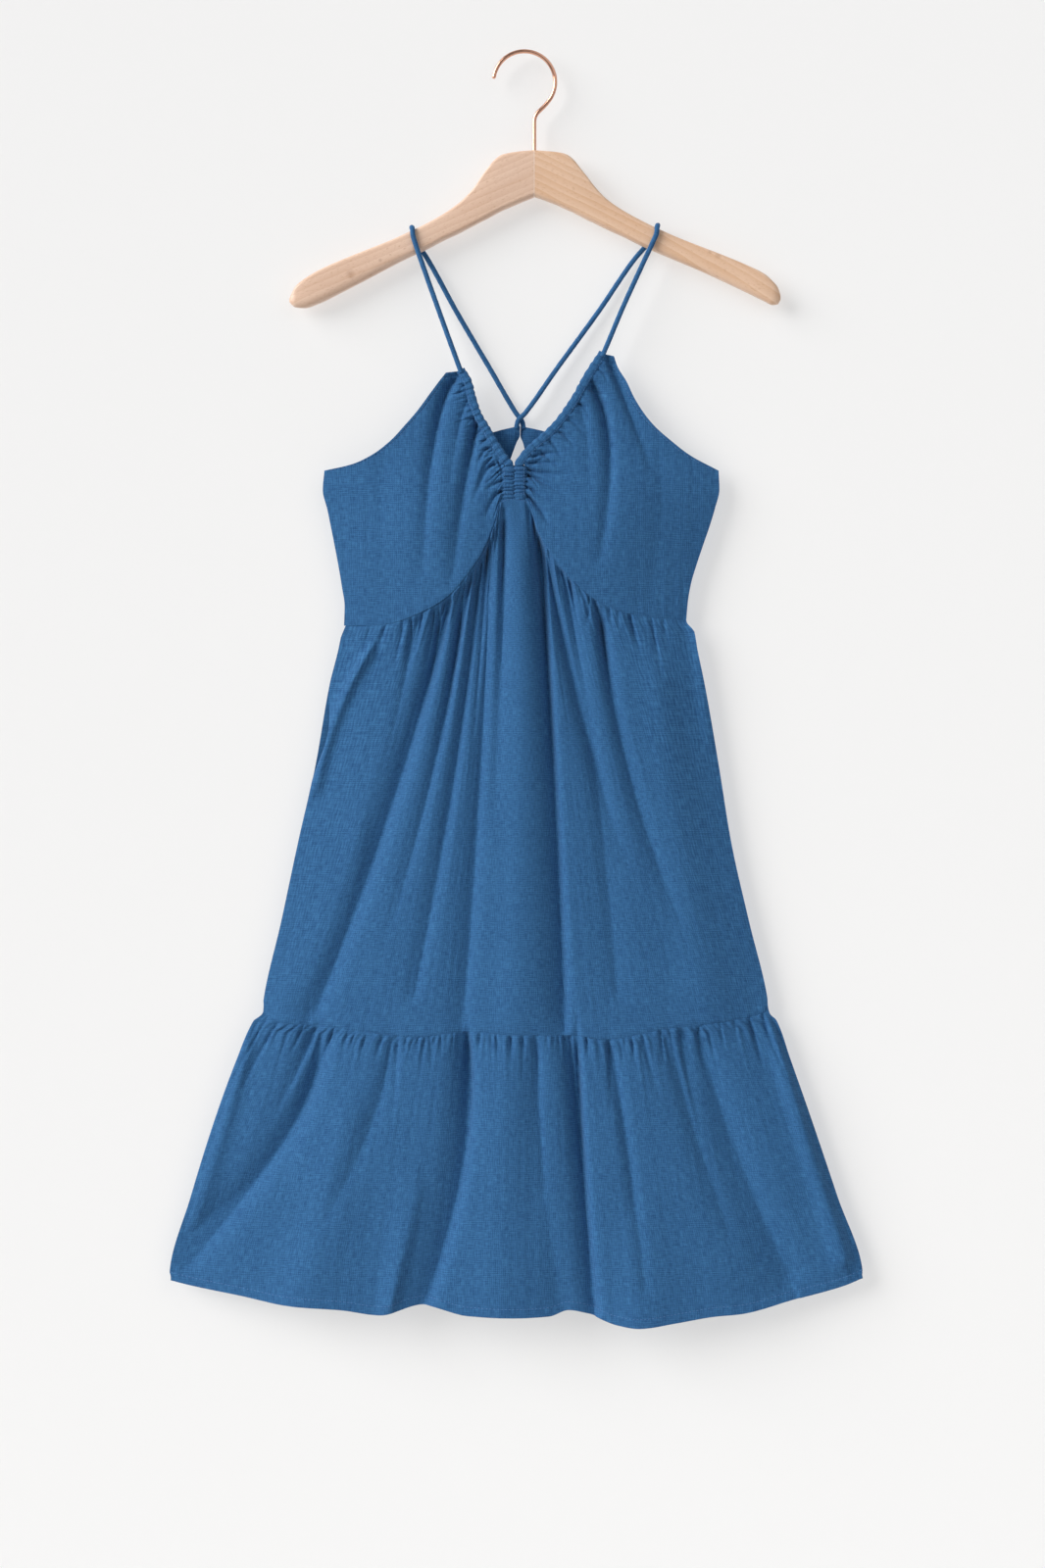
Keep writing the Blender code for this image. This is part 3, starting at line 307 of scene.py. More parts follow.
BUST_CREASES = table(
    CREASE_COLUMNS,
    (-128.7, 526, -132, 538, -139, 556, 1.3, 2, 1.2), (-112, 521, -114, 538, -120, 566, 1.9, 2.2, 1.2),
    (-104.6, 519, -105, 541, -110, 572, 3, 2.6, 1.2), (-94, 514, -96.5, 530, -101, 554, 2.8, 1.6, 1),
    (-83.7, 511, -86, 535, -92, 566, 2.9, 2, 1.2), (-79.2, 509, -83, 552, -96, 612, 3, 3.4, 1.4),
    (-67.9, 502, -76, 540, -90, 606, 3.6, 3.6, 1.4), (-60.5, 493, -63.5, 506, -68, 530, 2.8, 1.6, 1),
    (-73.5, 504, -78, 522, -84, 548, 2.8, 1.6, 1), (-55, 488, -58.5, 503, -63, 526, 2.4, 1.5, 1),
    (-40, 468, -42.5, 486, -46, 514, 2.6, 1.5, 1), (12, 446, 14.5, 464, 17, 492, 2.6, 1.8, 1.1),
    (40, 482, 43.5, 500, 48, 526, 2.4, 1.6, 1), (-49.5, 483, -60, 540, -76, 640, 4.4, 6, 1.6),
    (-45, 476, -46.6, 492, -50, 516, 2, 1.6, 1), (-34.8, 456, -39, 520, -48, 640, 4.6, 6, 1.6),
    (-31, 449, -32.5, 463, -34, 486, 1.8, 1.5, 1), (-25.7, 433, -26.6, 447, -27.5, 468, 1.8, 1.4, 1),
    (-21.4, 417, -19.3, 470, -23, 600, 3.2, 2.6, 4.6), (3.8, 419, 9.4, 452, 9.4, 520, 2.6, 3.5, 2.4),
    (16.7, 450, 19.8, 520, 26, 660, 4.6, 8, 1.7), (23, 459, 24.6, 468, 26.5, 482, 1.9, 1.3, 1),
    (33.2, 472, 42, 515, 56, 600, 4.4, 6, 1.6), (49, 489, 50.5, 497, 52, 506, 2, 1.3, 1),
    (57, 496, 58, 508, 55.5, 530, 2.6, 1.7, 1.1), (62.6, 500, 71, 536, 79, 600, 4, 5, 1.5),
    (76.3, 507, 77.6, 515, 80, 528, 2, 1.4, 1), (84.6, 511, 85, 518, 86, 529, 1.8, 1.3, 1),
    (95.6, 514, 99.6, 531, 106, 548, 3.2, 2, 1.2), (114.9, 519, 120, 545, 126, 580, 1.7, 2.4, 1.4),
    (126, 520, 128, 532, 132, 552, 1.2, 1.6, 1.1), (-186, 640, -192, 656, -197, 672, 2.4, 2, 1.6))
TIER_CREASES = table(
    CREASE_COLUMNS,
    (-236, 884, -250, 908, -272, 950, 1.8, 1.2, 1.4), (-225, 888, -240, 912, -262, 954, 2.3, 2.2, 1.4),
    (-203.6, 892, -209, 905, -217, 922, 1.9, 1.4, 1), (-191.5, 892, -205, 926, -236, 986, 3.6, 8.5, 2.2),
    (-175, 894, -180, 908, -188, 930, 2.5, 1.8, 1.2), (-161.5, 894, -164, 902, -168, 912, 2, 1.2, 1),
    (-154.5, 895, -158, 905, -163, 919, 2, 1.3, 1), (-145, 896, -147.5, 905, -151, 918, 2, 1.3, 1),
    (-131, 898, -132, 906, -135, 920, 1.6, 1.3, 1), (-117.5, 900, -117, 920, -121, 975, 3, 3.4, 1.8),
    (-108.9, 900, -109.2, 908, -111, 922, 2.6, 1.5, 1), (-98, 900, -98, 908, -98, 918, 1.7, 1.2, 1),
    (-88, 899, -86.5, 910, -87, 928, 2, 1.5, 1.1), (-78, 898, -77, 907, -77, 920, 1.6, 1.2, 1),
    (-66, 897, -66.5, 908, -68, 926, 1.7, 1.4, 1), (-54.6, 896, -51.6, 926, -56, 1004, 4.4, 10, 1.9),
    (-42, 896, -41.4, 904, -42, 914, 1.6, 1.2, 1), (-27, 898, -26, 908, -26.5, 922, 2.4, 1.4, 1),
    (-14, 899, -12.8, 908, -13, 924, 2.8, 1.5, 1), (-3, 899, -2.4, 906, -3, 914, 1.6, 1.1, 1),
    (8.7, 899, 11, 924, 16, 966, 2.4, 1.6, 4), (19, 899, 20, 907, 21.5, 918, 1.6, 1.2, 1),
    (30, 899, 31, 908, 32, 920, 1.7, 1.2, 1), (40.8, 899, 44, 940, 51, 1016, 5, 8, 1.8),
    (49, 900, 49.5, 906, 50, 914, 1.7, 1.1, 1), (55.8, 901, 56.4, 910, 57.5, 923, 2.5, 1.3, 1),
    (75.4, 903, 76.4, 924, 79, 970, 3, 1.6, 3.2), (90, 902, 91, 911, 93, 924, 1.8, 1.3, 1),
    (97, 901, 98, 911, 99.5, 926, 2, 1.4, 1), (106.6, 899, 112, 922, 123, 962, 2.2, 2.2, 2.2),
    (122.6, 895, 124.4, 908, 127.5, 930, 2.8, 1.8, 1.2), (131, 894, 133, 903, 136, 914, 1.7, 1.2, 1),
    (140.4, 893, 147, 934, 164, 1000, 4, 2.2, 8), (160, 890, 158.5, 908, 168, 938, 3, 1.8, 2.4),
    (177, 887, 179, 896, 182, 908, 1.8, 1.3, 1), (190, 885, 192.5, 895, 197, 910, 2, 1.4, 1),
    (204.5, 883, 209, 900, 219, 932, 2.8, 1.8, 1.4), (216.9, 880, 225, 905, 244, 950, 3, 2, 1.8),
    (224.5, 880, 236, 908, 256, 962, 1.4, 1.2, 1))


CREASE_GROWTH = 1.32      # the same for the creases


def creased(x, down, creases):
    """The same for short creases, which have died out at their ends."""
    columns = dict(zip(FOLD_COLUMNS.split(), [*list(creases.values())[:7], 0 * creases["deep"],
                                              creases["left"], creases["right"]]))
    return CREASE_GROWTH * folded(x, down, columns, power=1.6)


print("creases by hand:", sum(len(t["x0"]) for t in (CUP_CREASES, BUST_CREASES, TIER_CREASES)))


# %% [markdown]
# ## Gathers
#
# Gathers are a row of small uneven waves that start at a seam and melt into the panel. Their sizes come
# from two sines that never fall into step, so no two neighbours match and every run of this file gives
# the same dress. `sharp` makes the valleys narrow and the ridges round, as drawn-up cloth has them.

# %% Gathers
GATHERS = {
    "bust": {"count": 54, "shift": 0.6, "deep": 1.8, "reach": 17},
    "bust_fine": {"count": 128, "shift": 1.4, "deep": 0.8, "reach": 10},
    "tier": {"count": 96, "shift": 1.9, "deep": 1.3, "reach": 13},
    "tier_fine": {"count": 184, "shift": 0.9, "deep": 0.5, "reach": 7},
    "back_bust": {"count": 48, "shift": 3.1, "deep": 1.5, "reach": 34},
    "back_bust_fine": {"count": 110, "shift": 2.2, "deep": 0.6, "reach": 10},
    "back_tier": {"count": 90, "shift": 4.4, "deep": 1.5, "reach": 38},
    "back_tier_fine": {"count": 170, "shift": 5.0, "deep": 0.6, "reach": 11},
    "neck": {"count": 42, "shift": 2.7, "deep": 1.5, "reach": 6.5},
    "neck_fine": {"count": 88, "shift": 0.3, "deep": 0.5, "reach": 4},
    "back_top": {"count": 16, "shift": 5.2, "deep": 1.2, "reach": 22},
    "back_top_fine": {"count": 52, "shift": 1.1, "deep": 0.5, "reach": 9},
}
FLAT_CENTRE = {"at": 0.503, "half": 0.035}


def uneven(count, shift):
    """Sizes around 1 that no two neighbours share, the same in every run."""
    k = np.arange(count)
    return 1 + 0.30 * np.sin(2.4 * k + shift) + 0.18 * np.sin(5.3 * k + 2 * shift)


def ticks(gathers):
    """Where the ridges and valleys of a row of gathers lie along their seam, from 0 to 1."""
    run = np.concatenate(([0], np.cumsum(uneven(gathers["count"], gathers["shift"]))))
    return run / run[-1]


def sharp(swing, power=1.6):
    """Waves between -1 and 1 with wide ridges and narrow valleys."""
    lifted = np.clip((swing + 1.5) / 3, 0, 1)
    return 3 * lifted ** power - 1.2


def swing(share, name):
    """Where the cloth of a row of gathers stands at its seam, about -1 on a ridge and 1 in a valley."""
    gathers = GATHERS[name]
    marks = ticks(gathers)
    size = uneven(len(marks), gathers["shift"] + 1) ** 1.5
    sign = np.where(np.arange(len(marks)) % 2 == 0, -1, 1)
    return sharp(smooth(share, marks, sign * size))


def gathered(share, below, name):
    """How far gathers move the cloth, at a share of the seam and a distance below it."""
    gathers = GATHERS[name]
    below = np.maximum(below, 0)
    marks = ticks(gathers)
    reach = gathers["reach"] * smooth(share, marks, uneven(len(marks), gathers["shift"] + 2) ** 2.5)
    grown = 1 - 0.7 * np.exp(-below / 3)
    return gathers["deep"] * swing(share, name) * grown * np.exp(-(below / reach) ** 1.5)


def both_gathers(share, below, name):
    return gathered(share, below, name) + gathered(share, below, name + "_fine")


def rumple(x, down, seed, deep=0.5):
    """The faint waviness of washed linen, longer down the cloth than across it."""
    random = np.random.default_rng(seed)
    total = np.zeros(np.broadcast(x, down).shape)
    for wave in (131, 83, 57):
        slope, phase, lift = random.uniform(-0.2, 0.2), random.uniform(0, 6.28), wave / 131
        total += lift * np.sin(2 * pi / wave * (x + slope * down) + phase
                               + 0.9 * np.sin(2 * pi / (3.3 * wave) * down + 2 * phase))
    return deep * total / 2


def streaks(thread, down, seed, deep=0.08):
    """Faint lines along the warp of washed cloth. thread is the place across the flat cloth in mm."""
    random = np.random.default_rng(seed)
    total = np.zeros(np.broadcast(thread, down).shape)
    for wave in (17, 10.7, 6.9):
        phase, late = random.uniform(0, 6.28, 2)
        strength = 0.6 + 0.6 * np.sin(2 * pi * down / (13 * wave) + thread / 31 + late)
        total += strength * np.sin(2 * pi * thread / wave + phase + 1.5 * np.sin(down / (9 * wave) + late))
    return deep * total


print("half waves at the tier seam:", GATHERS["tier"]["count"], "and fine:", GATHERS["tier_fine"]["count"])


# %% [markdown]
# ## Where the cloth lies in depth
#
# The front is a shallow shell that stands off the side seams, fuller over the bust. Folds, creases and
# gathers push it back. Each panel is a sheet in the front view, one depth for each place, so two panels
# that lie side by side there can never cut through each other, and neither can a fold through itself.

# %% Depth of the front and of the back
def across_share(x, down):
    """-1 at the left side edge, 0 in the middle, 1 at the right one."""
    left = smooth(down, OUTLINE["down"], OUTLINE["left"])
    right = smooth(down, OUTLINE["down"], OUTLINE["right"])
    return np.clip((2 * x - left - right) / (right - left), -1, 1)


def stand_off(x, down, column):
    stand = smooth(down, OUTLINE["down"], OUTLINE[column])
    return SEAM_DEPTH + stand * (1 - np.abs(across_share(x, down)) ** ROUNDNESS)


def front_depth(x, down, moved=0):
    """Depth of the outer face of the front, kept in front of the side seams."""
    x, down = np.broadcast_arrays(np.asarray(x, dtype=float), np.asarray(down, dtype=float))
    depth = stand_off(x, down, "front")
    for bust_x, bust_down, rise, across, tall in zip(*BUST.values()):
        depth = depth + rise * np.exp(-((x - bust_x) / across) ** 2 - ((down - bust_down) / tall) ** 2)
    return np.minimum(-depth + moved, -SEAM_DEPTH)


def back_depth(x, down, moved=0):
    """Depth of the outer face of the back, kept behind the side seams."""
    return np.maximum(stand_off(x, down, "back") - moved, SEAM_DEPTH)


SEAM_ROLL = {"deep": 0.7, "reach": 1.2}


def rolled(gap):
    """Cloth dips into a seam, because its allowance is turned inside, and so a seam is a dark line."""
    return SEAM_ROLL["deep"] * np.exp(-(np.maximum(gap, 0) / SEAM_ROLL["reach"]) ** 1.5)


def held(gap, reach=2.5):
    """0 at a seam, which holds the cloth flat, and 1 a little way off."""
    return 1 - 0.85 * np.exp(-np.maximum(gap, 0) / reach)


def hemmed(gap, wide):
    """A folded edge: twice as thick up to its row of stitches, and pulled in where the stitches are."""
    band = 0.35 / (1 + np.exp((gap - wide) * 2.5))
    return 0.45 * np.exp(-((gap - wide) / 0.9) ** 2) - band


# %% [markdown]
# ## Skirt and ruffle
#
# The skirt hangs from the curved seam under the bust and the ruffle hangs from the skirt. A lengthwise
# thread starts at a share of the upper seam and ends at a share of the lower one, and the side edges are
# pulled onto the outline. The pocket in the left side seam is a slit: the front's edge moves off the
# back's for a hand's width.

# %% Skirt and ruffle surfaces
def skirt_edges(share, top, bottom):
    """Front-view ends of the lengthwise threads of the skirt's front."""
    top_x, top_d = walk(top, share)
    bottom_x = bottom["x"][0] + np.ptp(bottom["x"]) * smooth(share, GRAIN["seam"], GRAIN["tier"])
    return top_x, top_d, bottom_x, smooth(bottom_x, bottom["x"], bottom["down"])


CORNER = 0.03             # the share of a panel's height in which that pull starts and ends


def between(share, down_share, ends, hug):
    """A panel between two seams, whose side edges follow the outline. The larger hug is, the narrower the
    strip along each side that is pulled onto it."""
    top_x, top_d, bottom_x, bottom_d = ends(share)
    x = top_x + (bottom_x - top_x) * down_share
    down = top_d + (bottom_d - top_d) * down_share
    for edge, column in ((0.0, "left"), (1.0, "right")):
        edge_x0, _, edge_x1, _ = ends(edge)
        outline = smooth(down, OUTLINE["down"], OUTLINE[column])
        weight = np.clip(1 - 2 * np.abs(share - edge), 0, 1) ** hug
        ease = np.clip(down_share / CORNER, 0, 1) * np.clip((1 - down_share) / CORNER, 0, 1)
        x = x + weight * ease * (outline - edge_x0 - (edge_x1 - edge_x0) * down_share)
    return x, down


CUT_WIDE = {"skirt": 460, "ruffle": 620}   # the cloth across a panel, which its faint lines follow
TIER_BLEND = 16           # millimetres above and below the tier seam in which the long folds agree
DRAWN_UP = {"middle": 0.52, "half": 0.36, "fade": 0.12, "least": 0.3}  # the most gathered part of the seam


def through_tier(x, down, own, above, below_it):
    """Long folds that run on through the tier seam: near it, both of its panels use the mean of the two."""
    seam_down = smooth(x, TIER_SEAM["x"], TIER_SEAM["down"])
    shared = 0.5 * (folded(x, seam_down, above) + folded(x, seam_down, below_it))
    near = np.exp(-np.abs(down - seam_down) / TIER_BLEND)
    return near * shared + (1 - near) * folded(x, down, own)


def skirt_front(share, down_share):
    seam, tier = BUST_SEAM, TIER_SEAM
    x, down = between(share, down_share, lambda s: skirt_edges(s, seam, tier), hug=5)
    slit = np.clip((down - POCKET["top"]) / (POCKET["bottom"] - POCKET["top"]), 0, 1)
    x = x + POCKET["open"] * np.sin(pi * slit) ** 2 * np.clip(1 - share / 0.12, 0, 1) ** 2
    flat = np.clip(np.abs(share - FLAT_CENTRE["at"]) / FLAT_CENTRE["half"], 0, 1) ** 2
    below = down - walk(seam, share)[1]
    to_tier = smooth(x, tier["x"], tier["down"]) - down
    inside = (DRAWN_UP["half"] - np.abs(share - DRAWN_UP["middle"])) / DRAWN_UP["fade"]
    drawn_up = DRAWN_UP["least"] + (1 - DRAWN_UP["least"]) * np.clip(inside, 0, 1)
    folds = flat * drawn_up * both_gathers(share, below, "bust") + creased(x, down, BUST_CREASES)
    long_folds = through_tier(x, down, SKIRT_FOLDS, SKIRT_FOLDS, RUFFLE_FOLDS)
    thread = CUT_WIDE["skirt"] * smooth(share, GRAIN["seam"], GRAIN["tier"])
    moved = (held(below) * (held(to_tier) * folds + long_folds) + rumple(x, down, 11)
             + streaks(thread, down, 31) + rolled(below) + rolled(to_tier))
    return x, down, front_depth(x, down, moved)


def skirt_back(share, down_share):
    seam, tier = BACK_WAIST, TIER_SEAM

    def ends(s):
        bottom_x = tier["x"][0] + np.ptp(tier["x"]) * s
        return walk(seam, s) + (bottom_x, smooth(bottom_x, tier["x"], tier["down"]))

    x, down = between(share, down_share, ends, hug=5)
    below = down - walk(seam, share)[1]
    to_tier = ends(share)[3] - down
    folds = both_gathers(share, below, "back_bust") + creased(x, down, BACK_BUST_CREASES)
    long_folds = through_tier(x, down, BACK_FOLDS, BACK_FOLDS, BACK_FOLDS)
    moved = (held(below) * (held(to_tier) * folds + long_folds) + rumple(x, down, 12)
             + streaks(CUT_WIDE["skirt"] * share, down, 32) + rolled(below) + rolled(to_tier))
    return x, down, back_depth(x, down, moved)


HEM_WIDE = 8.0            # from the hem to its row of stitches


def pressed_edge(x, down, inside=4.5):
    """The faint groove beside a side seam, where its allowance ends under the cloth."""
    left, right = (smooth(down, OUTLINE["down"], OUTLINE[column]) for column in ("left", "right"))
    gap = (1 - np.abs(across_share(x, down))) * (right - left) / 2
    return 0.5 * np.exp(-((gap - inside) / 0.9) ** 2)


def ruffle(share, down_share, name, creases, above, long_folds, depth_of, shorter, seed):
    """A tier that hangs from the skirt. above holds the long folds of the skirt over it."""
    def ends(s):
        top_x = TIER_SEAM["x"][0] + np.ptp(TIER_SEAM["x"]) * s
        hem_x = HEM["x"][0] + np.ptp(HEM["x"]) * s
        hem_down = smooth(hem_x, HEM["x"], HEM["down"]) - shorter
        return top_x, smooth(top_x, TIER_SEAM["x"], TIER_SEAM["down"]), hem_x, hem_down

    x, down = between(share, down_share, ends, hug=2)
    top, hem = ends(share)[1], ends(share)[3]
    folds = both_gathers(share, down - top, name) + creased(x, down, creases)
    moved = (held(down - top) * folds + through_tier(x, down, long_folds, above, long_folds)
             + rumple(x, down, seed, deep=0.6) + streaks(CUT_WIDE["ruffle"] * share, down, seed + 20)
             + rolled(down - top) + hemmed(hem - down, HEM_WIDE) + pressed_edge(x, down))
    return x, down, depth_of(x, down, moved)


def ruffle_front(share, down_share):
    return ruffle(share, down_share, "tier", TIER_CREASES, SKIRT_FOLDS, RUFFLE_FOLDS, front_depth, 0, 13)


def ruffle_back(share, down_share):
    return ruffle(share, down_share, "back_tier", BACK_TIER_CREASES, BACK_FOLDS, BACK_FOLDS, back_depth,
                  BACK_HEM_SHORTER, 14)


# %% [markdown]
# ## The hidden side
#
# The back skirt hangs from a straight waist seam. Nobody placed its creases for a photograph, but they
# are of the same kind, so this cell spreads them along the seam: uneven steps, uneven depths, and a few
# that reach far down.

# %% Creases on the back
def spread_creases(seam, first, last, count, shift, lean, long):
    """A row of creases that hang from a seam, each with its own place, depth, width and length."""
    steps = np.cumsum(uneven(count, shift))
    size, reach = uneven(count, shift + 1), uneven(count, shift + 2) ** 2
    rows = []
    for k in range(count):
        x = first + (last - first) * (steps[k] - 0.5) / steps[-1]
        down = smooth(x, seam["x"], seam["down"]) + 1
        run = long * reach[k]
        drift = lean * x * run / 100
        left, right = (1.1 + 1.3 * size[k], 1.2) if k % 2 else (1.2, 1.1 + 1.3 * size[k])
        middle, end = (x + 0.4 * drift, down + 0.5 * run), (x + drift, down + run)
        rows.append((x, down, *middle, *end, 1.9 * size[k], left, right))
    return table(CREASE_COLUMNS, *rows)


BACK_BUST_CREASES = spread_creases(BACK_WAIST, -150, 132, 30, 0.7, 0.12, 34)
BACK_TIER_CREASES = spread_creases(TIER_SEAM, -226, 210, 44, 2.1, 0.14, 26)
print("creases on the back:", len(BACK_BUST_CREASES["x0"]) + len(BACK_TIER_CREASES["x0"]))


# %% [markdown]
# ## Bodice
#
# Each cup is a four-sided patch between the casing, the armhole with the side seam, its top corner and
# the seam under the bust. The back bodice is cut in two halves that leave a teardrop open between them.
# `patch` fills a shape between four edges: it slides from the inner edge to the outer one, then adds what
# the top and the bottom edge differ.

# %% Bodice surfaces
KEYHOLE = table(
    "down centre half", (341.6, -4.7, 0.2), (350, -4.9, 0.2), (357, -5.2, 3), (368, -6, 6.3),
    (386, -7.5, 11), (405, -9, 13.2), (422, -10, 12), (434, -10.3, 8), (440, -10.4, 3), (442, -10.4, 0.2),
    (523.2, -10.4, 0.2))
BACK_TOP = table(
    "out down", (0, 341.6), (25, 347.5), (45, 357), (80, 369), (120, 378), (150, 381.8), (180, 383.4))
BACK_PEAK = {"x": -4.7, "down": 343, "shift": 1.6, "reach": 18}
ARMPIT_SHARE = 0.6
EDGE_WIDE = 5.0           # from a folded edge of the bodice to its row of stitches
NO_HEM = 40               # a distance at which a hem no longer shows
NECK_ROW = 1.26           # the row of gathers goes on below the neckline, along the tab
TAB_ROW = 1.06            # where along that row the tab starts
FOOT = 0.12               # share of the way from the tab's corner to its middle where a cup's seam ends
SEAM_MIDDLE_ROW = 9       # the row of BUST_SEAM under the middle of the tab


def neck_row(side, share):
    """A share of the neckline as a share of its gathers. The two sides are read from opposite ends."""
    return share / NECK_ROW if side < 0 else 1 - share / NECK_ROW


def patch(out, down_share, inner, outer, top, bottom):
    """A four-sided panel between four edges in the front view."""
    points = []
    for k in range(2):
        along = (1 - out) * inner(down_share)[k] + out * outer(down_share)[k]
        lift = top(out)[k] - (1 - out) * top(0.0)[k] - out * top(1.0)[k]
        drop = bottom(out)[k] - (1 - out) * bottom(0.0)[k] - out * bottom(1.0)[k]
        points.append(along + lift * (1 - down_share) ** 3 + drop * down_share ** 3)
    return points


def side_edge(side, top, bottom):
    """A side seam of the bodice, as a path from the armpit down to the waist."""
    down = np.linspace(top, bottom, 9)
    return {"x": smooth(down, OUTLINE["down"], OUTLINE["left" if side < 0 else "right"]), "down": down}


def cup_edges(side):
    """The inner and outer edges of a cup and its part of the seam, as functions of a share."""
    neck, armhole = (NECK_LEFT, ARMHOLE_LEFT) if side < 0 else (NECK_RIGHT, ARMHOLE_RIGHT)
    run = lengths(BUST_SEAM) / lengths(BUST_SEAM)[-1]
    at_tab, middle = run[SEAM_ROW_AT_TAB[side]], run[SEAM_MIDDLE_ROW]
    start, finish = at_tab + FOOT * (middle - at_tab), (0 if side < 0 else 1)
    tab_x = (TAB["left"] if side < 0 else TAB["right"]) - 0.5 * side * TUCK
    casing_edge = beside(resampled(neck), side * (CASING["wide"] - TUCK))
    kept = side * casing_edge["x"] > side * tab_x
    casing_edge = {name: column[kept] for name, column in casing_edge.items()}

    def seam(out):
        return walk(BUST_SEAM, start + (finish - start) * np.asarray(out))

    foot_x, foot_down = seam(0.0)
    tab_edge = {"x": np.array([tab_x, foot_x]), "down": np.array([TAB["top"] + 5, foot_down])}
    inner_path = joined(casing_edge, tab_edge)
    neck_marks = np.append(np.linspace(0, 1, len(kept))[kept], [TAB_ROW, NECK_ROW])
    inner_run = lengths(inner_path) / lengths(inner_path)[-1]
    side_path = side_edge(side, armhole["down"][-1], seam(1.0)[1])

    def outer(share):
        upper = walk(armhole, np.clip(share / ARMPIT_SHARE, 0, 1))
        lower = walk(side_path, np.clip((share - ARMPIT_SHARE) / (1 - ARMPIT_SHARE), 0, 1))
        return [np.where(share < ARMPIT_SHARE, a, b) for a, b in zip(upper, lower)]

    def top(share):
        return [a + (b - a) * share for a, b in zip(walk(inner_path, 0.0), walk(armhole, 0.0))]

    def neck_share(v):
        return np.interp(v, inner_run, neck_marks)

    return lambda v: walk(inner_path, v), outer, top, seam, neck_share


def cup(side, out, down_share):
    """One cup: out from the casing to the armhole and side, down from the strap to the seam."""
    inner, outer, top, seam, neck_share = cup_edges(side)
    x, down = patch(out, down_share, inner, outer, top, seam)
    inner_x, inner_down = inner(down_share)
    outer_x, outer_down = outer(down_share)
    seam_x, seam_down = seam(out)
    from_casing = np.hypot(x - inner_x, down - inner_down) - TUCK
    below_armpit = down_share > ARMPIT_SHARE
    from_armhole = np.hypot(x - outer_x, down - outer_down) + NO_HEM * below_armpit
    to_seam = np.hypot(x - seam_x, down - seam_down)
    folds = (both_gathers(neck_row(side, neck_share(down_share)), from_casing, "neck")
             + creased(x, down, CUP_CREASES) + folded(x, down, CUP_FOLDS))
    moved = (held(to_seam) * folds + rumple(x, down, 15, deep=0.45) + streaks(x, down, 35)
             + 0.6 * rolled(from_casing) + rolled(to_seam) + hemmed(from_armhole, EDGE_WIDE))
    return x, down, front_depth(x, down, moved)


def back_bodice(side, out, down_share):
    """Half of the back bodice: out from the keyhole to the side, down from its top edge to the waist."""
    def inner(share):
        down = KEYHOLE["down"][0] + np.ptp(KEYHOLE["down"]) * np.asarray(share)
        middle = smooth(down, KEYHOLE["down"], KEYHOLE["centre"])
        return middle + side * smooth(down, KEYHOLE["down"], KEYHOLE["half"]), down

    side_path = side_edge(side, BACK_TOP["down"][-1], BACK_WAIST["down"][0 if side < 0 else -1])
    start_x, side_x = inner(0.0)[0], side_path["x"][0]

    def top(share):
        x = start_x + (side_x - start_x) * np.asarray(share)
        stretched = BACK_TOP["out"] * abs(side_x - start_x) / BACK_TOP["out"][-1]
        return x, smooth(np.abs(x - start_x), stretched, BACK_TOP["down"])

    def bottom(share):
        x = inner(1.0)[0] + (side_path["x"][-1] - inner(1.0)[0]) * np.asarray(share)
        return x, smooth(x, BACK_WAIST["x"], BACK_WAIST["down"])

    x, down = patch(out, down_share, inner, lambda v: walk(side_path, v), top, bottom)
    below = down - top(out)[1]
    peak = BACK_PEAK["shift"] * np.exp(
        -((x - BACK_PEAK["x"]) ** 2 + (down - BACK_PEAK["down"]) ** 2) / BACK_PEAK["reach"] ** 2)
    open_part = np.clip((KEYHOLE["down"][-2] - down) / 10, 0, 1)
    moved = (open_part * both_gathers(out, below, "back_top") + rumple(x, down, 16, deep=0.3)
             + hemmed(below, EDGE_WIDE) + rolled(bottom(out)[1] - down))
    return x, down, back_depth(x, down, moved) + side * peak


# %% [markdown]
# ## From a surface to a shell
#
# Cloth seen from a step away is a thin wall with two sides and an edge. This function lays a grid of
# points on a surface, repeats it a cloth's thickness further in, and closes the rim, so the mesh is one
# watertight body. Solidify could do this too, but in a narrow crease its inner wall would cross itself,
# while a plain shift in depth never does. The UV map holds the weave's own directions in metres, so
# threads follow the panel.

# %% Shells of cloth
def graded(count, ends=0.5):
    """Shares from 0 to 1 that lie closer together at both ends, where the gathers and the hems are."""
    t = np.linspace(0, 1, count + 1)
    return t - ends * np.sin(2 * pi * t) / (2 * pi)


def new_mesh(name, points, faces, uv, material):
    """A smooth mesh object at the origin, turned the right way out, with a UV map."""
    corner = points[faces[:, 0]]
    volume = sum(np.einsum("ij,ij->i", corner, np.cross(points[faces[:, a]], points[faces[:, a + 1]])).sum()
                 for a in (1, 2))
    if volume < 0:
        faces = faces[:, ::-1]
    mesh = bpy.data.meshes.new(name)
    mesh.from_pydata(points.tolist(), [], [tuple(dict.fromkeys(face)) for face in faces.tolist()])
    layer = mesh.uv_layers.new(name="UVMap")
    spots = np.empty(len(mesh.loops), dtype=np.int32)
    mesh.loops.foreach_get("vertex_index", spots)
    layer.data.foreach_set("uv", uv[spots].ravel())
    mesh.shade_smooth()
    mesh.set_sharp_from_angle(angle=radians(60))
    mesh.materials.append(material)
    piece = bpy.data.objects.new(name, mesh)
    bpy.context.collection.objects.link(piece)
    return piece


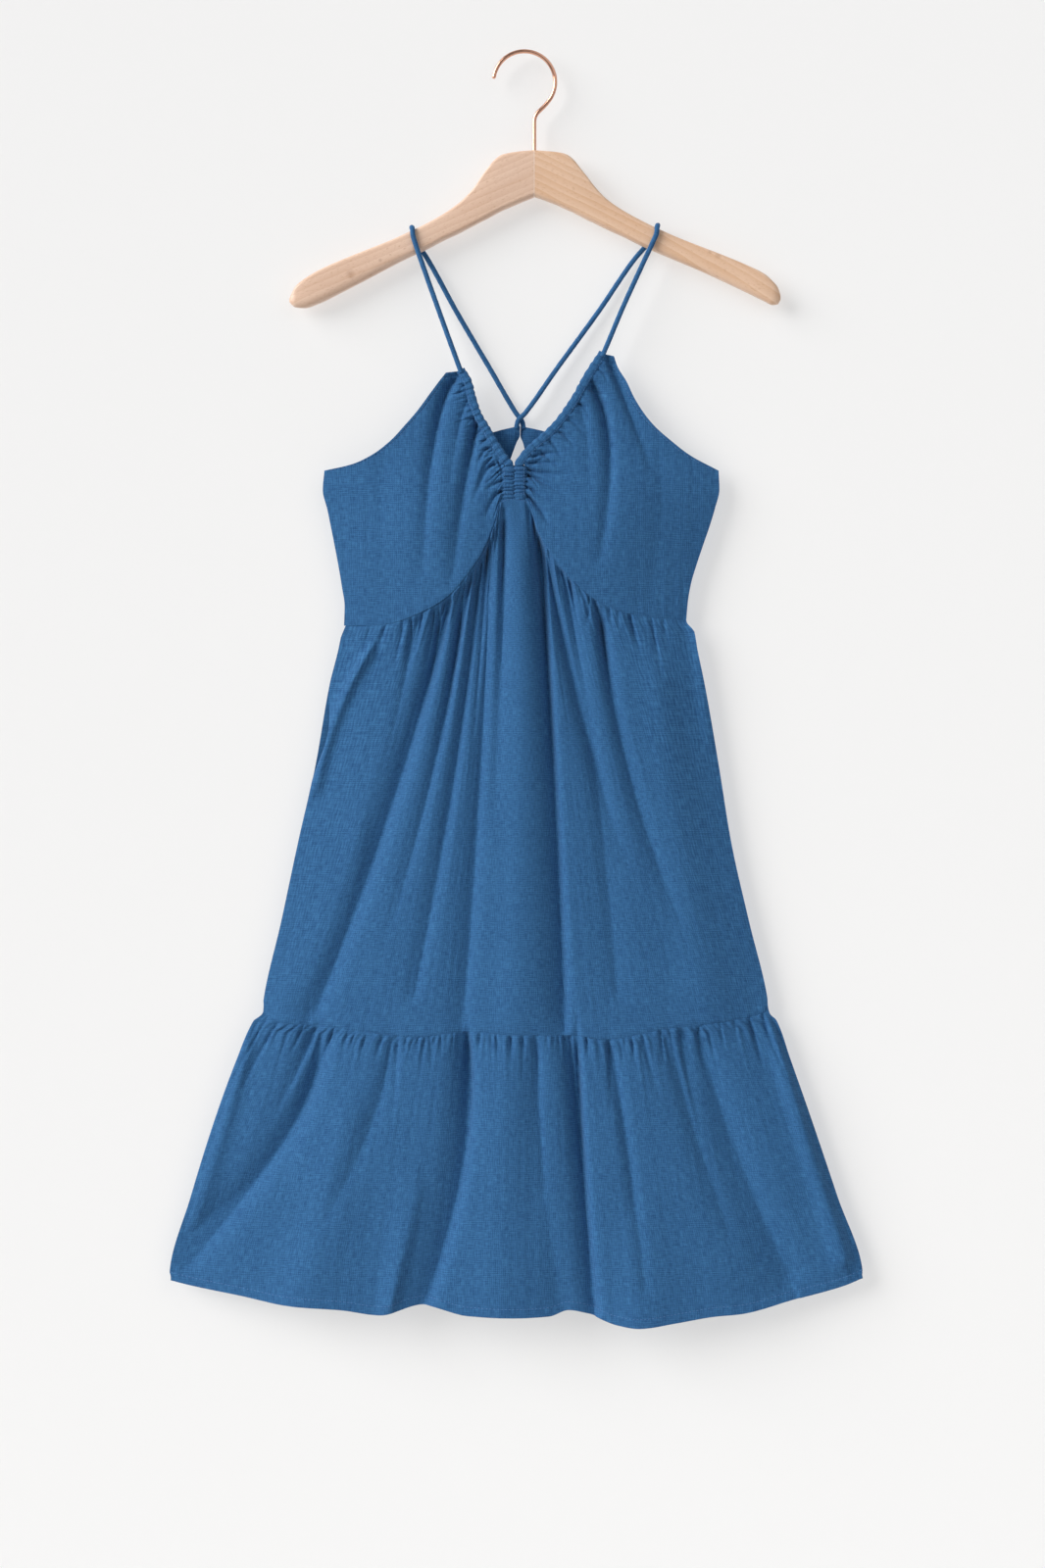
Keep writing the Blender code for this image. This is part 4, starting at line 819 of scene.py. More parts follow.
def shell(name, surface, across, down_shares, inward, material, grain=None):
    """A wall of cloth over a grid of shares. grain gives the place of each thread in the flat cloth."""
    share, down_share = np.meshgrid(across, down_shares)
    x, down, depth = surface(share, down_share)
    rows, columns = x.shape
    points = np.concatenate([place(x, down, depth + shift).reshape(-1, 3) for shift in (0, inward * CLOTH)])
    grid = np.arange(rows * columns).reshape(rows, columns)
    outer = np.stack([grid[:-1, :-1], grid[:-1, 1:], grid[1:, 1:], grid[1:, :-1]], axis=-1).reshape(-1, 4)
    rim = np.concatenate([grid[0], grid[1:, -1], grid[-1, -2::-1], grid[-2::-1, 0]])
    edge = np.stack([rim[:-1], rim[:-1] + grid.size, rim[1:] + grid.size, rim[1:]], axis=-1)
    faces = np.concatenate([outer, outer[:, ::-1] + grid.size, edge])
    along = x * MM if grain is None else grain(share)
    uv = np.stack([along, -down * MM], axis=-1).reshape(-1, 2)
    return new_mesh(name, points, faces, np.concatenate([uv, uv]), material)


def surface_area(piece):
    return sum(face.area for face in piece.data.polygons)


# %% [markdown]
# ## Two helpers for node trees
#
# Every material and every Geometry Nodes tree below is built with one small function. It adds a node,
# gives it its settings, and fills each input: a number or a colour is written into the socket, another
# node's output is linked. Colours are written as sRGB hex values, the way a colour picker shows them, and
# turned into linear light once.

# %% Node and colour helpers
def add(tree, kind, inputs=None, **settings):
    """Add a node with its settings, and fill its inputs with values or with other nodes' outputs."""
    node = tree.nodes.new(kind)
    for name, value in settings.items():
        setattr(node, name, value)
    for name, value in (inputs or {}).items():
        if isinstance(value, bpy.types.NodeSocket):
            tree.links.new(value, node.inputs[name])
        else:
            node.inputs[name].default_value = value
    return node


def srgb(code):
    """A hex colour as linear red, green, blue and alpha."""
    parts = [int(code[k:k + 2], 16) / 255 for k in (1, 3, 5)]
    return (*[p / 12.92 if p <= 0.04045 else ((p + 0.055) / 1.055) ** 2.4 for p in parts], 1)


def blank_material(name):
    """A new material and its tree, with the output node only."""
    material = bpy.data.materials.new(name)
    material.use_nodes = True
    tree = material.node_tree
    tree.nodes.clear()
    return material, tree, add(tree, "ShaderNodeOutputMaterial")


# %% [markdown]
# ## Linen
#
# The cloth is garment-washed plain-weave linen, piece-dyed blue. Linen yarn is spun unevenly, so thick
# slubs show as short light dashes along both directions of the weave, and washing leaves it matt with a
# little fluff. Its threads are really about 0.55 mm apart. They are drawn 1.9 mm apart, because finer
# ones would not show in a picture in which a pixel covers most of a millimetre. The UV map is in metres,
# so each scale is one over a real size.

# %% Linen material
THREAD = 0.0019           # metres from one drawn thread to the next; the real ones are 0.00055 apart
SLUB = {"long": 0.0085, "wide": 0.00075}
WAVE_PERIOD = 2 * pi / 20  # a Wave texture of scale 1 repeats after this length


def linen_material(name, deep, light):
    """Plain weave with slubs: matt, with a faint sheen from its fluff."""
    material, tree, output = blank_material(name)
    uv = add(tree, "ShaderNodeUVMap", uv_map="UVMap").outputs["UV"]
    threads = []
    for direction in ("X", "Y"):
        wave = add(tree, "ShaderNodeTexWave", {
            "Vector": uv, "Scale": WAVE_PERIOD / THREAD, "Distortion": 1.4, "Detail": 1.0,
            "Detail Scale": 0.35}, wave_type="BANDS", bands_direction=direction)
        threads.append(wave.outputs["Fac"])
    weave = add(tree, "ShaderNodeMath", {0: threads[0], 1: threads[1]}, operation="MULTIPLY").outputs[0]
    slubs = []
    for long_first in (True, False):
        size = (SLUB["long"], SLUB["wide"]) if long_first else (SLUB["wide"], SLUB["long"])
        stretched = add(tree, "ShaderNodeMapping", {
            "Vector": uv, "Location": (3.1 * long_first, 7.7, 0), "Scale": (1 / size[0], 1 / size[1], 1)})
        noise = add(tree, "ShaderNodeTexNoise", {
            "Vector": stretched.outputs[0], "Scale": 1.0, "Detail": 2.0, "Roughness": 0.55})
        slub = add(tree, "ShaderNodeMapRange", {
            "Value": noise.outputs["Fac"], "From Min": 0.42, "From Max": 0.72})
        slubs.append(slub.outputs[0])
    slub = add(tree, "ShaderNodeMath", {0: slubs[0], 1: slubs[1]}, operation="ADD").outputs[0]
    washed = add(tree, "ShaderNodeTexNoise", {"Vector": uv, "Scale": 22.0, "Detail": 2.0, "Roughness": 0.4})
    shade = -0.02
    for part, strength in ((weave, 0.40), (slub, 0.55), (washed.outputs["Fac"], 0.16)):
        sum_node = add(tree, "ShaderNodeMath", {0: part, 1: strength, 2: shade}, operation="MULTIPLY_ADD")
        shade = sum_node.outputs[0]
    sum_node.use_clamp = True
    colour = add(tree, "ShaderNodeMix", {
        "Factor": shade, 6: srgb(deep), 7: srgb(light)}, data_type="RGBA").outputs[2]
    height = add(tree, "ShaderNodeMath", {0: slub, 1: 0.8, 2: weave}, operation="MULTIPLY_ADD").outputs[0]
    bump = add(tree, "ShaderNodeBump", {"Height": height, "Strength": 0.5, "Distance": 0.00018})
    shader = add(tree, "ShaderNodeBsdfPrincipled", {
        "Base Color": colour, "Roughness": 0.88, "IOR": 1.5, "Normal": bump.outputs[0],
        "Sheen Weight": 0.18, "Sheen Roughness": 0.45, "Sheen Tint": srgb("#B9CDE6"),
        "Specular IOR Level": 0.25})
    tree.links.new(shader.outputs[0], output.inputs["Surface"])
    return material


LINEN = linen_material("washed_linen", "#1A4573", "#3A709F")
print("threads in a centimetre as drawn:", round(0.01 / THREAD, 1))


# %% [markdown]
# ## Sewing thread
#
# The seams are sewn with a polyester core-spun thread dyed to match. It is smoother than the linen, so a
# stitch is a touch lighter than the cloth around it. Its twist is a fine diagonal band, read from Object
# coordinates.

# %% Thread material
TWIST = 0.0006            # metres from one turn of the ply to the next, drawn twice its real size


def thread_material():
    material, tree, output = blank_material("core_spun_thread")
    spot = add(tree, "ShaderNodeTexCoord").outputs["Object"]
    ply = add(tree, "ShaderNodeTexWave", {
        "Vector": spot, "Scale": WAVE_PERIOD / TWIST, "Distortion": 0.5},
        wave_type="BANDS", bands_direction="DIAGONAL").outputs["Fac"]
    colour = add(tree, "ShaderNodeMix", {
        "Factor": ply, 6: srgb("#2B568C"), 7: srgb("#5A88BC")}, data_type="RGBA").outputs[2]
    bump = add(tree, "ShaderNodeBump", {"Height": ply, "Strength": 0.4, "Distance": 0.00008})
    shader = add(tree, "ShaderNodeBsdfPrincipled", {
        "Base Color": colour, "Roughness": 0.55, "IOR": 1.55, "Normal": bump.outputs[0]})
    tree.links.new(shader.outputs[0], output.inputs["Surface"])
    return material


THREAD_FINISH = thread_material()


# %% [markdown]
# ## Sew the large panels
#
# Each panel gets its grid. The rows lie close together near the seams, where the gathers are a few
# millimetres wide. The front has most of the points, since that is the side that is looked at closely.
# Once its stitches are made, each panel's area is printed as a ratio to the size that it was cut to.

# %% Panels
GRIDS = {
    "skirt_front": (390, 118), "skirt_back": (200, 84), "ruffle_front": (420, 104),
    "ruffle_back": (250, 80), "cup": (130, 190), "back_bodice": (90, 84),
}
WEAVE_WIDE = {"skirt": 0.48, "ruffle": 0.66}   # metres of weave across a panel


def sewn(piece, node):
    """Let a piece ride with the dress and stand for its node in the frame, whose solid is hidden."""
    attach(piece, "root")
    if node is not None:
        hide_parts(node)
    return piece


PANELS = {}
for name, surface, inward, grain in (
        ("skirt_front", skirt_front, 1,
         lambda s: WEAVE_WIDE["skirt"] * smooth(s, GRAIN["seam"], GRAIN["tier"])),
        ("skirt_back", skirt_back, -1, lambda s: WEAVE_WIDE["skirt"] * s),
        ("ruffle_front", ruffle_front, 1, lambda s: WEAVE_WIDE["ruffle"] * s),
        ("ruffle_back", ruffle_back, -1, lambda s: WEAVE_WIDE["ruffle"] * s)):
    across, rows = GRIDS[name]
    PANELS[name] = shell(
        name + "_cloth", surface, np.linspace(0, 1, across + 1), graded(rows), inward, LINEN, grain)
for side, word in ((-1, "left"), (1, "right")):
    across, rows = GRIDS["cup"]
    PANELS["front_cup_" + word] = shell(
        "cup_cloth_" + word, lambda out, v, s=side: cup(s, out, v), graded(across, 0.35),
        np.linspace(0, 1, rows + 1), 1, LINEN)
    across, rows = GRIDS["back_bodice"]
    PANELS["back_bodice_" + word] = shell(
        "back_cloth_" + word, lambda out, v, s=side: back_bodice(s, out, v), np.linspace(0, 1, across + 1),
        graded(rows, 0.3), -1, LINEN)
for node, piece in PANELS.items():
    print(node, "triangles", 2 * len(piece.data.polygons), "surface", round(surface_area(piece), 4))


# %% [markdown]
# ## Casings drawn up on a cord
#
# A casing is a tunnel of cloth with a cord in it. When the cord is pulled, the tunnel shortens into
# ruches: uneven little rolls that run across it and lean this way and that. Each is an oval tube along
# its edge of the neckline. The rolls are a wave along the tube, delayed round the tube so that they
# slant, with narrow valleys between them.

# %% Loft and ruched casings
GATHERS["tab"] = {"count": 17, "shift": 1.7}
RUCHE = 0.16              # how far the rolls swell and shrink the tube, as a share of its size


def loft(name, rings, uv, material):
    """A closed tube over rings of points, with a fan at either end that closes it."""
    count, around, _ = rings.shape
    points = np.concatenate([rings.reshape(-1, 3), rings[:1].mean(axis=1), rings[-1:].mean(axis=1)])
    grid = np.arange(count * around).reshape(count, around)
    turned = np.roll(grid, -1, axis=1)
    wall = np.stack([grid[:-1], turned[:-1], turned[1:], grid[1:]], axis=-1).reshape(-1, 4)
    first, last = count * around, count * around + 1
    start = np.stack([grid[0], np.full(around, first), np.full(around, first), turned[0]], axis=-1)
    finish = np.stack([turned[-1], np.full(around, last), np.full(around, last), grid[-1]], axis=-1)
    ends = np.concatenate([uv.reshape(-1, 2), uv[:1].mean(axis=1), uv[-1:].mean(axis=1)])
    return new_mesh(name, points, np.concatenate([wall, start, finish]), ends, material)


def ruched_casing(name, path, gathers, row, wide, slant_by=1.1, rings=230, around=30, fade=3.0,
                  ruche=RUCHE):
    """An oval tube with slanting rolls, read along the stretch of gathers that row gives. Within fade
    millimetres of its ends the rolls are smaller."""
    path_length = lengths(path)[-1]
    share = np.linspace(0, 1, rings + 1)
    x, down = walk(path, share)
    ahead, behind = walk(path, np.clip(share + 0.004, 0, 1)), walk(path, np.clip(share - 0.004, 0, 1))
    across, along = ahead[0] - behind[0], ahead[1] - behind[1]
    length = np.hypot(across, along)
    across, along = (across / length)[:, None], (along / length)[:, None]
    angle = np.linspace(0, 2 * pi, around, endpoint=False)[None, :]
    slant = slant_by / path_length * np.sin(angle) * np.sin(share[:, None] * path_length / 7 + slant_by)
    along_row = np.clip(row[0] + (row[1] - row[0]) * (share[:, None] + slant), 0, 1)
    roll = -swing(along_row, gathers)
    fine = 0.45 * np.sin(share[:, None] * path_length * 2.9 + 2 * np.sin(angle + slant_by))
    fine = fine * np.cos(angle * 2 + 1)
    end = np.minimum(1, np.minimum(share, 1 - share)[:, None] * path_length / fade)
    swell = 0.94 + ruche * end * (roll + fine)
    out = wide / 2 * (0.56 + 0.4 * swell) * np.sign(np.cos(angle)) * np.abs(np.cos(angle)) ** 0.8
    back = CASING["deep"] / 2 * swell * np.sign(np.sin(angle)) * np.abs(np.sin(angle)) ** 0.85
    to_end = np.minimum(share * (gathers == "tab") + (gathers != "tab"), 1 - share) * path_length
    depth = (front_depth(x, down) + 1.5 + 2.1 * np.exp(-to_end / 1.2))[:, None] + back
    points = place(x[:, None] + out * along, down[:, None] - out * across, depth)
    uv = np.stack(np.broadcast_arrays(
        angle / (2 * pi) * 2.2 * wide * MM, share[:, None] * path_length * 1.7 * MM), axis=-1)
    return loft(name, points, uv, LINEN)


CASINGS = {}
for side, word, neck in ((-1, "left", NECK_LEFT), (1, "right", NECK_RIGHT)):
    neck_path = beside(resampled(neck), side * CASING["wide"] / 2)
    CASINGS["neck_casing_" + word] = ruched_casing(
        "neck_ruches_" + word, neck_path, "neck", [neck_row(side, t) for t in (0, 1)], CASING["wide"])
    centre = (TAB[word] + TAB["centre"]) / 2
    tab_path = {"x": np.full(4, centre), "down": np.linspace(TAB["top"] - 2, TAB["bottom"] + 3.6, 4)}
    CASINGS["centre_casing_" + word] = ruched_casing(
        "centre_ruches_" + word, tab_path, "tab", (0, 1) if side < 0 else (1, 0),
        abs(TAB[word] - TAB["centre"]) + 1.0, slant_by=0.6, rings=80, fade=1.5, ruche=0.26)
for node, piece in CASINGS.items():
    sewn(piece, node)


def tab_lining(share, down_share):
    """The strip of cloth that the two middle casings are stitched onto, just behind them."""
    x = TAB["left"] - 1.5 + (TAB["right"] - TAB["left"] + 3) * share
    down = TAB["top"] - 2.8 + (TAB["bottom"] - TAB["top"] + 6.8) * down_share
    return x, down, front_depth(x, down) + 3.4


lining = sewn(shell("tab_lining", tab_lining, np.linspace(0, 1, 9), np.linspace(0, 1, 11), 1, LINEN), None)
print("casings:", ", ".join(CASINGS))


# %% [markdown]
# ## Straps, with Geometry Nodes
#
# A rouleau is a narrow tube of bias cloth, sewn and turned right side out with its own seam allowance as
# filling. It follows a path, which is what Geometry Nodes are good at: a line of points becomes a curve,
# a circle is swept along it, and a little noise along the normals gives the puckers that the turned seam
# leaves. The tree has a named input for each size, and its last nodes realize the result and give it its
# material.

# %% The rouleau tree
def inputs_of(tree):
    """The identifier of each named input of a Geometry Nodes tree."""
    return {item.name: item.identifier for item in tree.interface.items_tree
            if item.item_type == "SOCKET" and item.in_out == "INPUT"}


def new_tree(name, sizes):
    """A Geometry Nodes tree with a geometry in and out, a number for each size, a seed and a material."""
    tree = bpy.data.node_groups.new(name, "GeometryNodeTree")
    tree.interface.new_socket("Geometry", in_out="INPUT", socket_type="NodeSocketGeometry")
    for size in sizes:
        tree.interface.new_socket(size, in_out="INPUT", socket_type="NodeSocketFloat")
    tree.interface.new_socket("Seed", in_out="INPUT", socket_type="NodeSocketInt")
    tree.interface.new_socket("Material", in_out="INPUT", socket_type="NodeSocketMaterial")
    tree.interface.new_socket("Geometry", in_out="OUTPUT", socket_type="NodeSocketGeometry")
    return tree, add(tree, "NodeGroupInput").outputs


def close_tree(tree, geometry, material):
    """End a tree with the nodes that every one of them needs."""
    smoothed = add(tree, "GeometryNodeSetShadeSmooth", {"Geometry": geometry}).outputs[0]
    real = add(tree, "GeometryNodeRealizeInstances", {"Geometry": smoothed}).outputs[0]
    dressed = add(tree, "GeometryNodeSetMaterial", {"Geometry": real, "Material": material}).outputs[0]
    add(tree, "NodeGroupOutput", {"Geometry": dressed})


def rouleau_tree():
    tree, given = new_tree("rouleau", ("Radius", "Step", "Pucker", "Pucker Length"))
    curve = add(tree, "GeometryNodeMeshToCurve", {"Mesh": given["Geometry"]}).outputs[0]
    even = add(tree, "GeometryNodeResampleCurve", {
        "Curve": curve, "Length": given["Step"]}, mode="LENGTH").outputs[0]
    along = add(tree, "GeometryNodeSplineParameter").outputs["Length"]
    path = add(tree, "GeometryNodeCaptureAttribute", {"Geometry": even})
    path.capture_items.new("FLOAT", "Along")
    tree.links.new(along, path.inputs["Along"])
    circle = add(tree, "GeometryNodeCurvePrimitiveCircle", {
        "Resolution": 18, "Radius": given["Radius"]}).outputs[0]
    round_it = add(tree, "GeometryNodeCaptureAttribute", {"Geometry": circle})
    round_it.capture_items.new("FLOAT", "Around")
    tree.links.new(add(tree, "GeometryNodeSplineParameter").outputs["Length"], round_it.inputs["Around"])
    tube = add(tree, "GeometryNodeCurveToMesh", {
        "Curve": path.outputs["Geometry"], "Profile Curve": round_it.outputs["Geometry"],
        "Fill Caps": True}).outputs[0]
    scale = add(tree, "ShaderNodeMath", {0: 1.0, 1: given["Pucker Length"]}, operation="DIVIDE").outputs[0]
    noise = add(tree, "ShaderNodeTexNoise", {
        "Scale": scale, "W": given["Seed"], "Detail": 2.0}, noise_dimensions="4D").outputs["Fac"]
    bumpy = add(tree, "ShaderNodeMath", {0: noise, 1: 0.5}, operation="SUBTRACT").outputs[0]
    amount = add(tree, "ShaderNodeMath", {0: bumpy, 1: given["Pucker"]}, operation="MULTIPLY").outputs[0]
    normal = add(tree, "GeometryNodeInputNormal").outputs[0]
    offset = add(tree, "ShaderNodeVectorMath", {0: normal, "Scale": amount}, operation="SCALE").outputs[0]
    puckered = add(tree, "GeometryNodeSetPosition", {"Geometry": tube, "Offset": offset}).outputs[0]
    weave = add(tree, "ShaderNodeCombineXYZ", {
        "X": round_it.outputs["Around"], "Y": path.outputs["Along"]}).outputs[0]
    mapped = add(tree, "GeometryNodeStoreNamedAttribute", {
        "Geometry": puckered, "Name": "UVMap", "Value": weave}, data_type="FLOAT2", domain="CORNER")
    close_tree(tree, mapped.outputs[0], given["Material"])
    return tree


ROULEAU = rouleau_tree()
print("inputs of the rouleau tree:", ", ".join(inputs_of(ROULEAU)))


# %% [markdown]
# ## Route the straps
#
# Each strap goes from the top of its casing up the front, over the arm of the hanger in a half turn, and
# down behind to the middle of the back, where the right one passes in front of the left one. `grow` runs
# a tree on a line of points: it sets the inputs by their identifiers before the object is evaluated,
# takes the finished mesh, and drops the modifier, so a plain mesh is left.

# %% Straps
STRAP = {"radius": 2.3, "pucker": 0.5, "pucker_length": 3.2, "step": 1.1}
ARM_LOOP = {"flat": 3.1, "round": 6.0, "drop": 6.27}
STRAP_LEFT = {
    "arm": -104.3, "seat": 160.3,
    "front": table("x down depth", (-58.8, 294, -9), (-60.9, 288.4, -9.3), (-77, 244, -9.4),
                   (-94, 196, -9.3), (-100.5, 177, -9.2)),
    "back": table("x down depth", (-98.5, 175, 9.2), (-90.5, 187, 9.3), (-63.5, 236, 9.3),
                  (-32.4, 289, 9.2), (-9, 329, 8.8), (-2.8, 338, 8.3), (-1.6, 344.5, 7.2))}
STRAP_RIGHT = {
    "arm": 121.4, "seat": 158.4,
    "front": table("x down depth", (70.2, 279.5, -9), (73.2, 272.6, -9), (89, 235, -9.3),
                   (110, 189, -9.3), (116.3, 175.5, -9.2)),
    "back": table("x down depth", (112.5, 174, 9.2), (101, 187, 9.3), (68, 235, 8.4), (28.8, 289, 6.2),
                  (-0.2, 330, 3.8), (-6.9, 337.4, 3.6), (-8.4, 344, 4.2))}


def strap_route(strap):
    """Up the front, a half turn over the arm, and down the back."""
    turn = np.radians([-90, -60, -30, 0, 0, 30, 60, 90])
    flat = ARM_LOOP["flat"] * np.array([-1, -1, -1, -1, 1, 1, 1, 1])
    over = {
        "x": strap["arm"] - np.sign(strap["arm"]) * np.abs(np.sin(turn)),
        "down": strap["seat"] + ARM_LOOP["drop"] * (1 - np.cos(turn)),
        "depth": flat + ARM_LOOP["round"] * np.sin(turn)}
    route = joined(strap["front"], over, strap["back"])
    return place(*walk(route, np.linspace(0, 1, 320)))


def line_object(name, lines):
    """An object that holds nothing but chains of edges, for a tree to grow something on."""
    points = np.concatenate(lines)
    edges, start = [], 0
    for line in lines:
        edges += [(start + k, start + k + 1) for k in range(len(line) - 1)]
        start += len(line)
    mesh = bpy.data.meshes.new(name)
    mesh.from_pydata(points.tolist(), edges, [])
    line_piece = bpy.data.objects.new(name, mesh)
    bpy.context.collection.objects.link(line_piece)
    return line_piece


def grow(name, lines, tree, **values):
    """Run a tree on lines of points and keep the result as a plain mesh."""
    piece = line_object(name, lines)
    modifier = piece.modifiers.new("grow", "NODES")
    modifier.node_group = tree
    names = inputs_of(tree)
    for key, value in values.items():
        modifier[names[key.replace("_", " ")]] = value
    view_layer = bpy.context.evaluated_depsgraph_get()
    grown = bpy.data.meshes.new_from_object(piece.evaluated_get(view_layer))
    piece.modifiers.clear()
    grown.materials.clear()
    grown.materials.append(values["Material"])
    grown.polygons.foreach_set("material_index", np.zeros(len(grown.polygons), dtype=np.int32))
    piece.data = grown
    grown.name = name
    return piece


STRAPS = {}
for number, (word, strap) in enumerate((("left", STRAP_LEFT), ("right", STRAP_RIGHT))):
    STRAPS["strap_" + word] = grow(
        "rouleau_" + word, [strap_route(strap)], ROULEAU, Radius=STRAP["radius"] * MM,
        Step=STRAP["step"] * MM, Pucker=STRAP["pucker"] * MM, Pucker_Length=STRAP["pucker_length"] * MM,
        Seed=3 + number, Material=LINEN)
for node, piece in STRAPS.items():
    sewn(piece, node)
    print(node, "triangles about", 2 * len(piece.data.polygons))


# %% [markdown]
# ## Stitches, with Geometry Nodes
#
# A row of topstitching is the plainest case of something that repeats along a path. The tree spaces
# points along the line, puts a small oval on each, turns it along the line and shakes it a little with a
# fixed seed. An oval of six sides and four rings is enough for a thing that is a pixel or two wide.

# %% The stitch tree
def stitch_tree():
    tree, given = new_tree("topstitch", ("Length", "Gap", "Width", "Shake"))
    curve = add(tree, "GeometryNodeMeshToCurve", {"Mesh": given["Geometry"]}).outputs[0]
    pitch = add(tree, "ShaderNodeMath", {0: given["Length"], 1: given["Gap"]}, operation="ADD").outputs[0]
    spaced = add(tree, "GeometryNodeResampleCurve", {
        "Curve": curve, "Length": pitch}, mode="LENGTH").outputs[0]
    ball = add(tree, "GeometryNodeMeshUVSphere", {"Segments": 6, "Rings": 4, "Radius": 0.5}).outputs[0]
    size = add(tree, "ShaderNodeCombineXYZ", {
        "X": given["Length"], "Y": given["Width"], "Z": given["Width"]})
    oval = add(tree, "GeometryNodeTransform", {"Geometry": ball, "Scale": size.outputs[0]}).outputs[0]
    low = add(tree, "ShaderNodeMath", {0: 0.0, 1: given["Shake"]}, operation="SUBTRACT").outputs[0]
    low3 = add(tree, "ShaderNodeCombineXYZ", {"X": low, "Y": low, "Z": low}).outputs[0]
    high3 = add(tree, "ShaderNodeCombineXYZ", {
        "X": given["Shake"], "Y": given["Shake"], "Z": given["Shake"]}).outputs[0]
    shake = add(tree, "FunctionNodeRandomValue", {
        0: low3, 1: high3, "Seed": given["Seed"]}, data_type="FLOAT_VECTOR").outputs[0]
    tangent = add(tree, "GeometryNodeInputTangent").outputs[0]
    heading = add(tree, "ShaderNodeVectorMath", {0: tangent, 1: shake}, operation="ADD").outputs[0]
    turned = add(tree, "FunctionNodeAlignRotationToVector", {"Vector": heading}, axis="X").outputs[0]
    row = add(tree, "GeometryNodeInstanceOnPoints", {
        "Points": spaced, "Instance": oval, "Rotation": turned}).outputs[0]
    close_tree(tree, row, given["Material"])
    return tree


TOPSTITCH = stitch_tree()


# %% [markdown]
# ## Sew the rows
#
# The hem, the armholes and the edges of the back are folded twice and topstitched. Each row is a line on
# its own panel, lifted by less than half a thread, so that its stitches are sunk into the cloth.

# %% Rows of stitches
STITCH = {"length": 2.6, "gap": 0.9, "width": 0.55, "shake": 0.10}


def on_panel(surface, share, down_share, lift):
    """Points on a panel's outer face, moved towards the outside by lift, which is negative on the front."""
    x, down, depth = surface(np.asarray(share, dtype=float), np.asarray(down_share, dtype=float))
    return place(x, down, depth + lift)


def stitched(name, lines, seed, scale=1.0):
    row = grow(name, lines, TOPSTITCH, Length=STITCH["length"] * scale * MM, Gap=STITCH["gap"] * scale * MM,
               Width=STITCH["width"] * scale * MM, Shake=STITCH["shake"], Seed=seed, Material=THREAD_FINISH)
    print(name, "triangles", 2 * len(row.data.polygons))
    return sewn(row, None)


LIFT = 0.12
RUFFLE_LONG = 255.0
shares = np.linspace(0.003, 0.997, 420)
hem_at = np.full(len(shares), 1 - HEM_WIDE / RUFFLE_LONG)
hem_front = stitched("hem_stitches_front", [on_panel(ruffle_front, shares, hem_at, -LIFT)], 21)
hem_back = stitched("hem_stitches_back", [on_panel(ruffle_back, shares, hem_at, LIFT)], 22)
armhole_rows = {}
for side, word in ((-1, "left"), (1, "right")):
    inner, outer, _, _, _ = cup_edges(side)
    down_shares = np.linspace(0.03, ARMPIT_SHARE - 0.005, 160)
    wide = np.hypot(*(np.array(outer(down_shares)) - np.array(inner(down_shares))))
    row = on_panel(lambda out, v, s=side: cup(s, out, v), 1 - EDGE_WIDE / wide, down_shares, -LIFT)
    armhole_rows[word] = stitched("armhole_stitches_" + word, [row], 23 + side)
top_line = (np.linspace(0.02, 0.99, 150), np.full(150, 0.032))
slit_line = (np.full(90, 0.018), np.linspace(0.09, 0.53, 90))
back_rows = {}
for side, word in ((-1, "left"), (1, "right")):
    rows = [on_panel(lambda out, v, s=side: back_bodice(s, out, v), *line, LIFT)
            for line in (top_line, slit_line)]
    back_rows[word] = stitched("back_edge_stitches_" + word, rows, 27 + side)


# %% [markdown]
# ## Rows on the tab and the casings
#
# These rows are shorter and lie on drawn-up cloth, so their stitches are smaller. Two rows close the tab
# at its foot, one closes its top, and one runs down each of its sides. A row beside each casing keeps the
# cord in.

# %% Stitches of the centre tab and along the casings
def flat_row(x0, down0, x1, down1, lift, count=24):
    """A straight row in the front view, laid on the front at its depth there."""
    x, down = np.linspace(x0, x1, count), np.linspace(down0, down1, count)
    return place(x, down, front_depth(x, down) + lift)


TAB_ROW_LIFT, CASING_ROW_LIFT = -1.55, -0.75
SHORT = 0.7               # stitches on drawn-up cloth, against those of the hem
stitched("tab_stitches", [
    flat_row(TAB["left"] + 1, 406.0, TAB["right"] - 1, 406.0, TAB_ROW_LIFT),
    on_panel(skirt_front, np.linspace(0.474, 0.532, 24), np.full(24, 0.0034), -LIFT),
    flat_row(TAB["left"] + 1.5, 383.2, TAB["right"] - 1, 383.2, TAB_ROW_LIFT),
    flat_row(TAB["left"] + 1.3, 384, TAB["left"] + 1.3, 405, TAB_ROW_LIFT + 0.5),
    flat_row(TAB["right"] - 1.3, 384, TAB["right"] - 1.3, 405, TAB_ROW_LIFT + 0.5)], 31, scale=SHORT)
for side, word, neck in ((-1, "left", NECK_LEFT), (1, "right", NECK_RIGHT)):
    line = beside(resampled(neck), side * (CASING["wide"] - 1.3))
    x, down = line["x"][2:-3], line["down"][2:-3]
    row = place(x, down, front_depth(x, down) + CASING_ROW_LIFT)
    stitched("casing_stitches_" + word, [row], 33 + side, scale=SHORT)


# %% [markdown]
#
# A sheet of cloth is known by the size it was cut to. The cups and the back are cut to shape, the skirt
# flares, and the ruffle is a long strip. The areas are those of the cut pieces, without seam allowances.

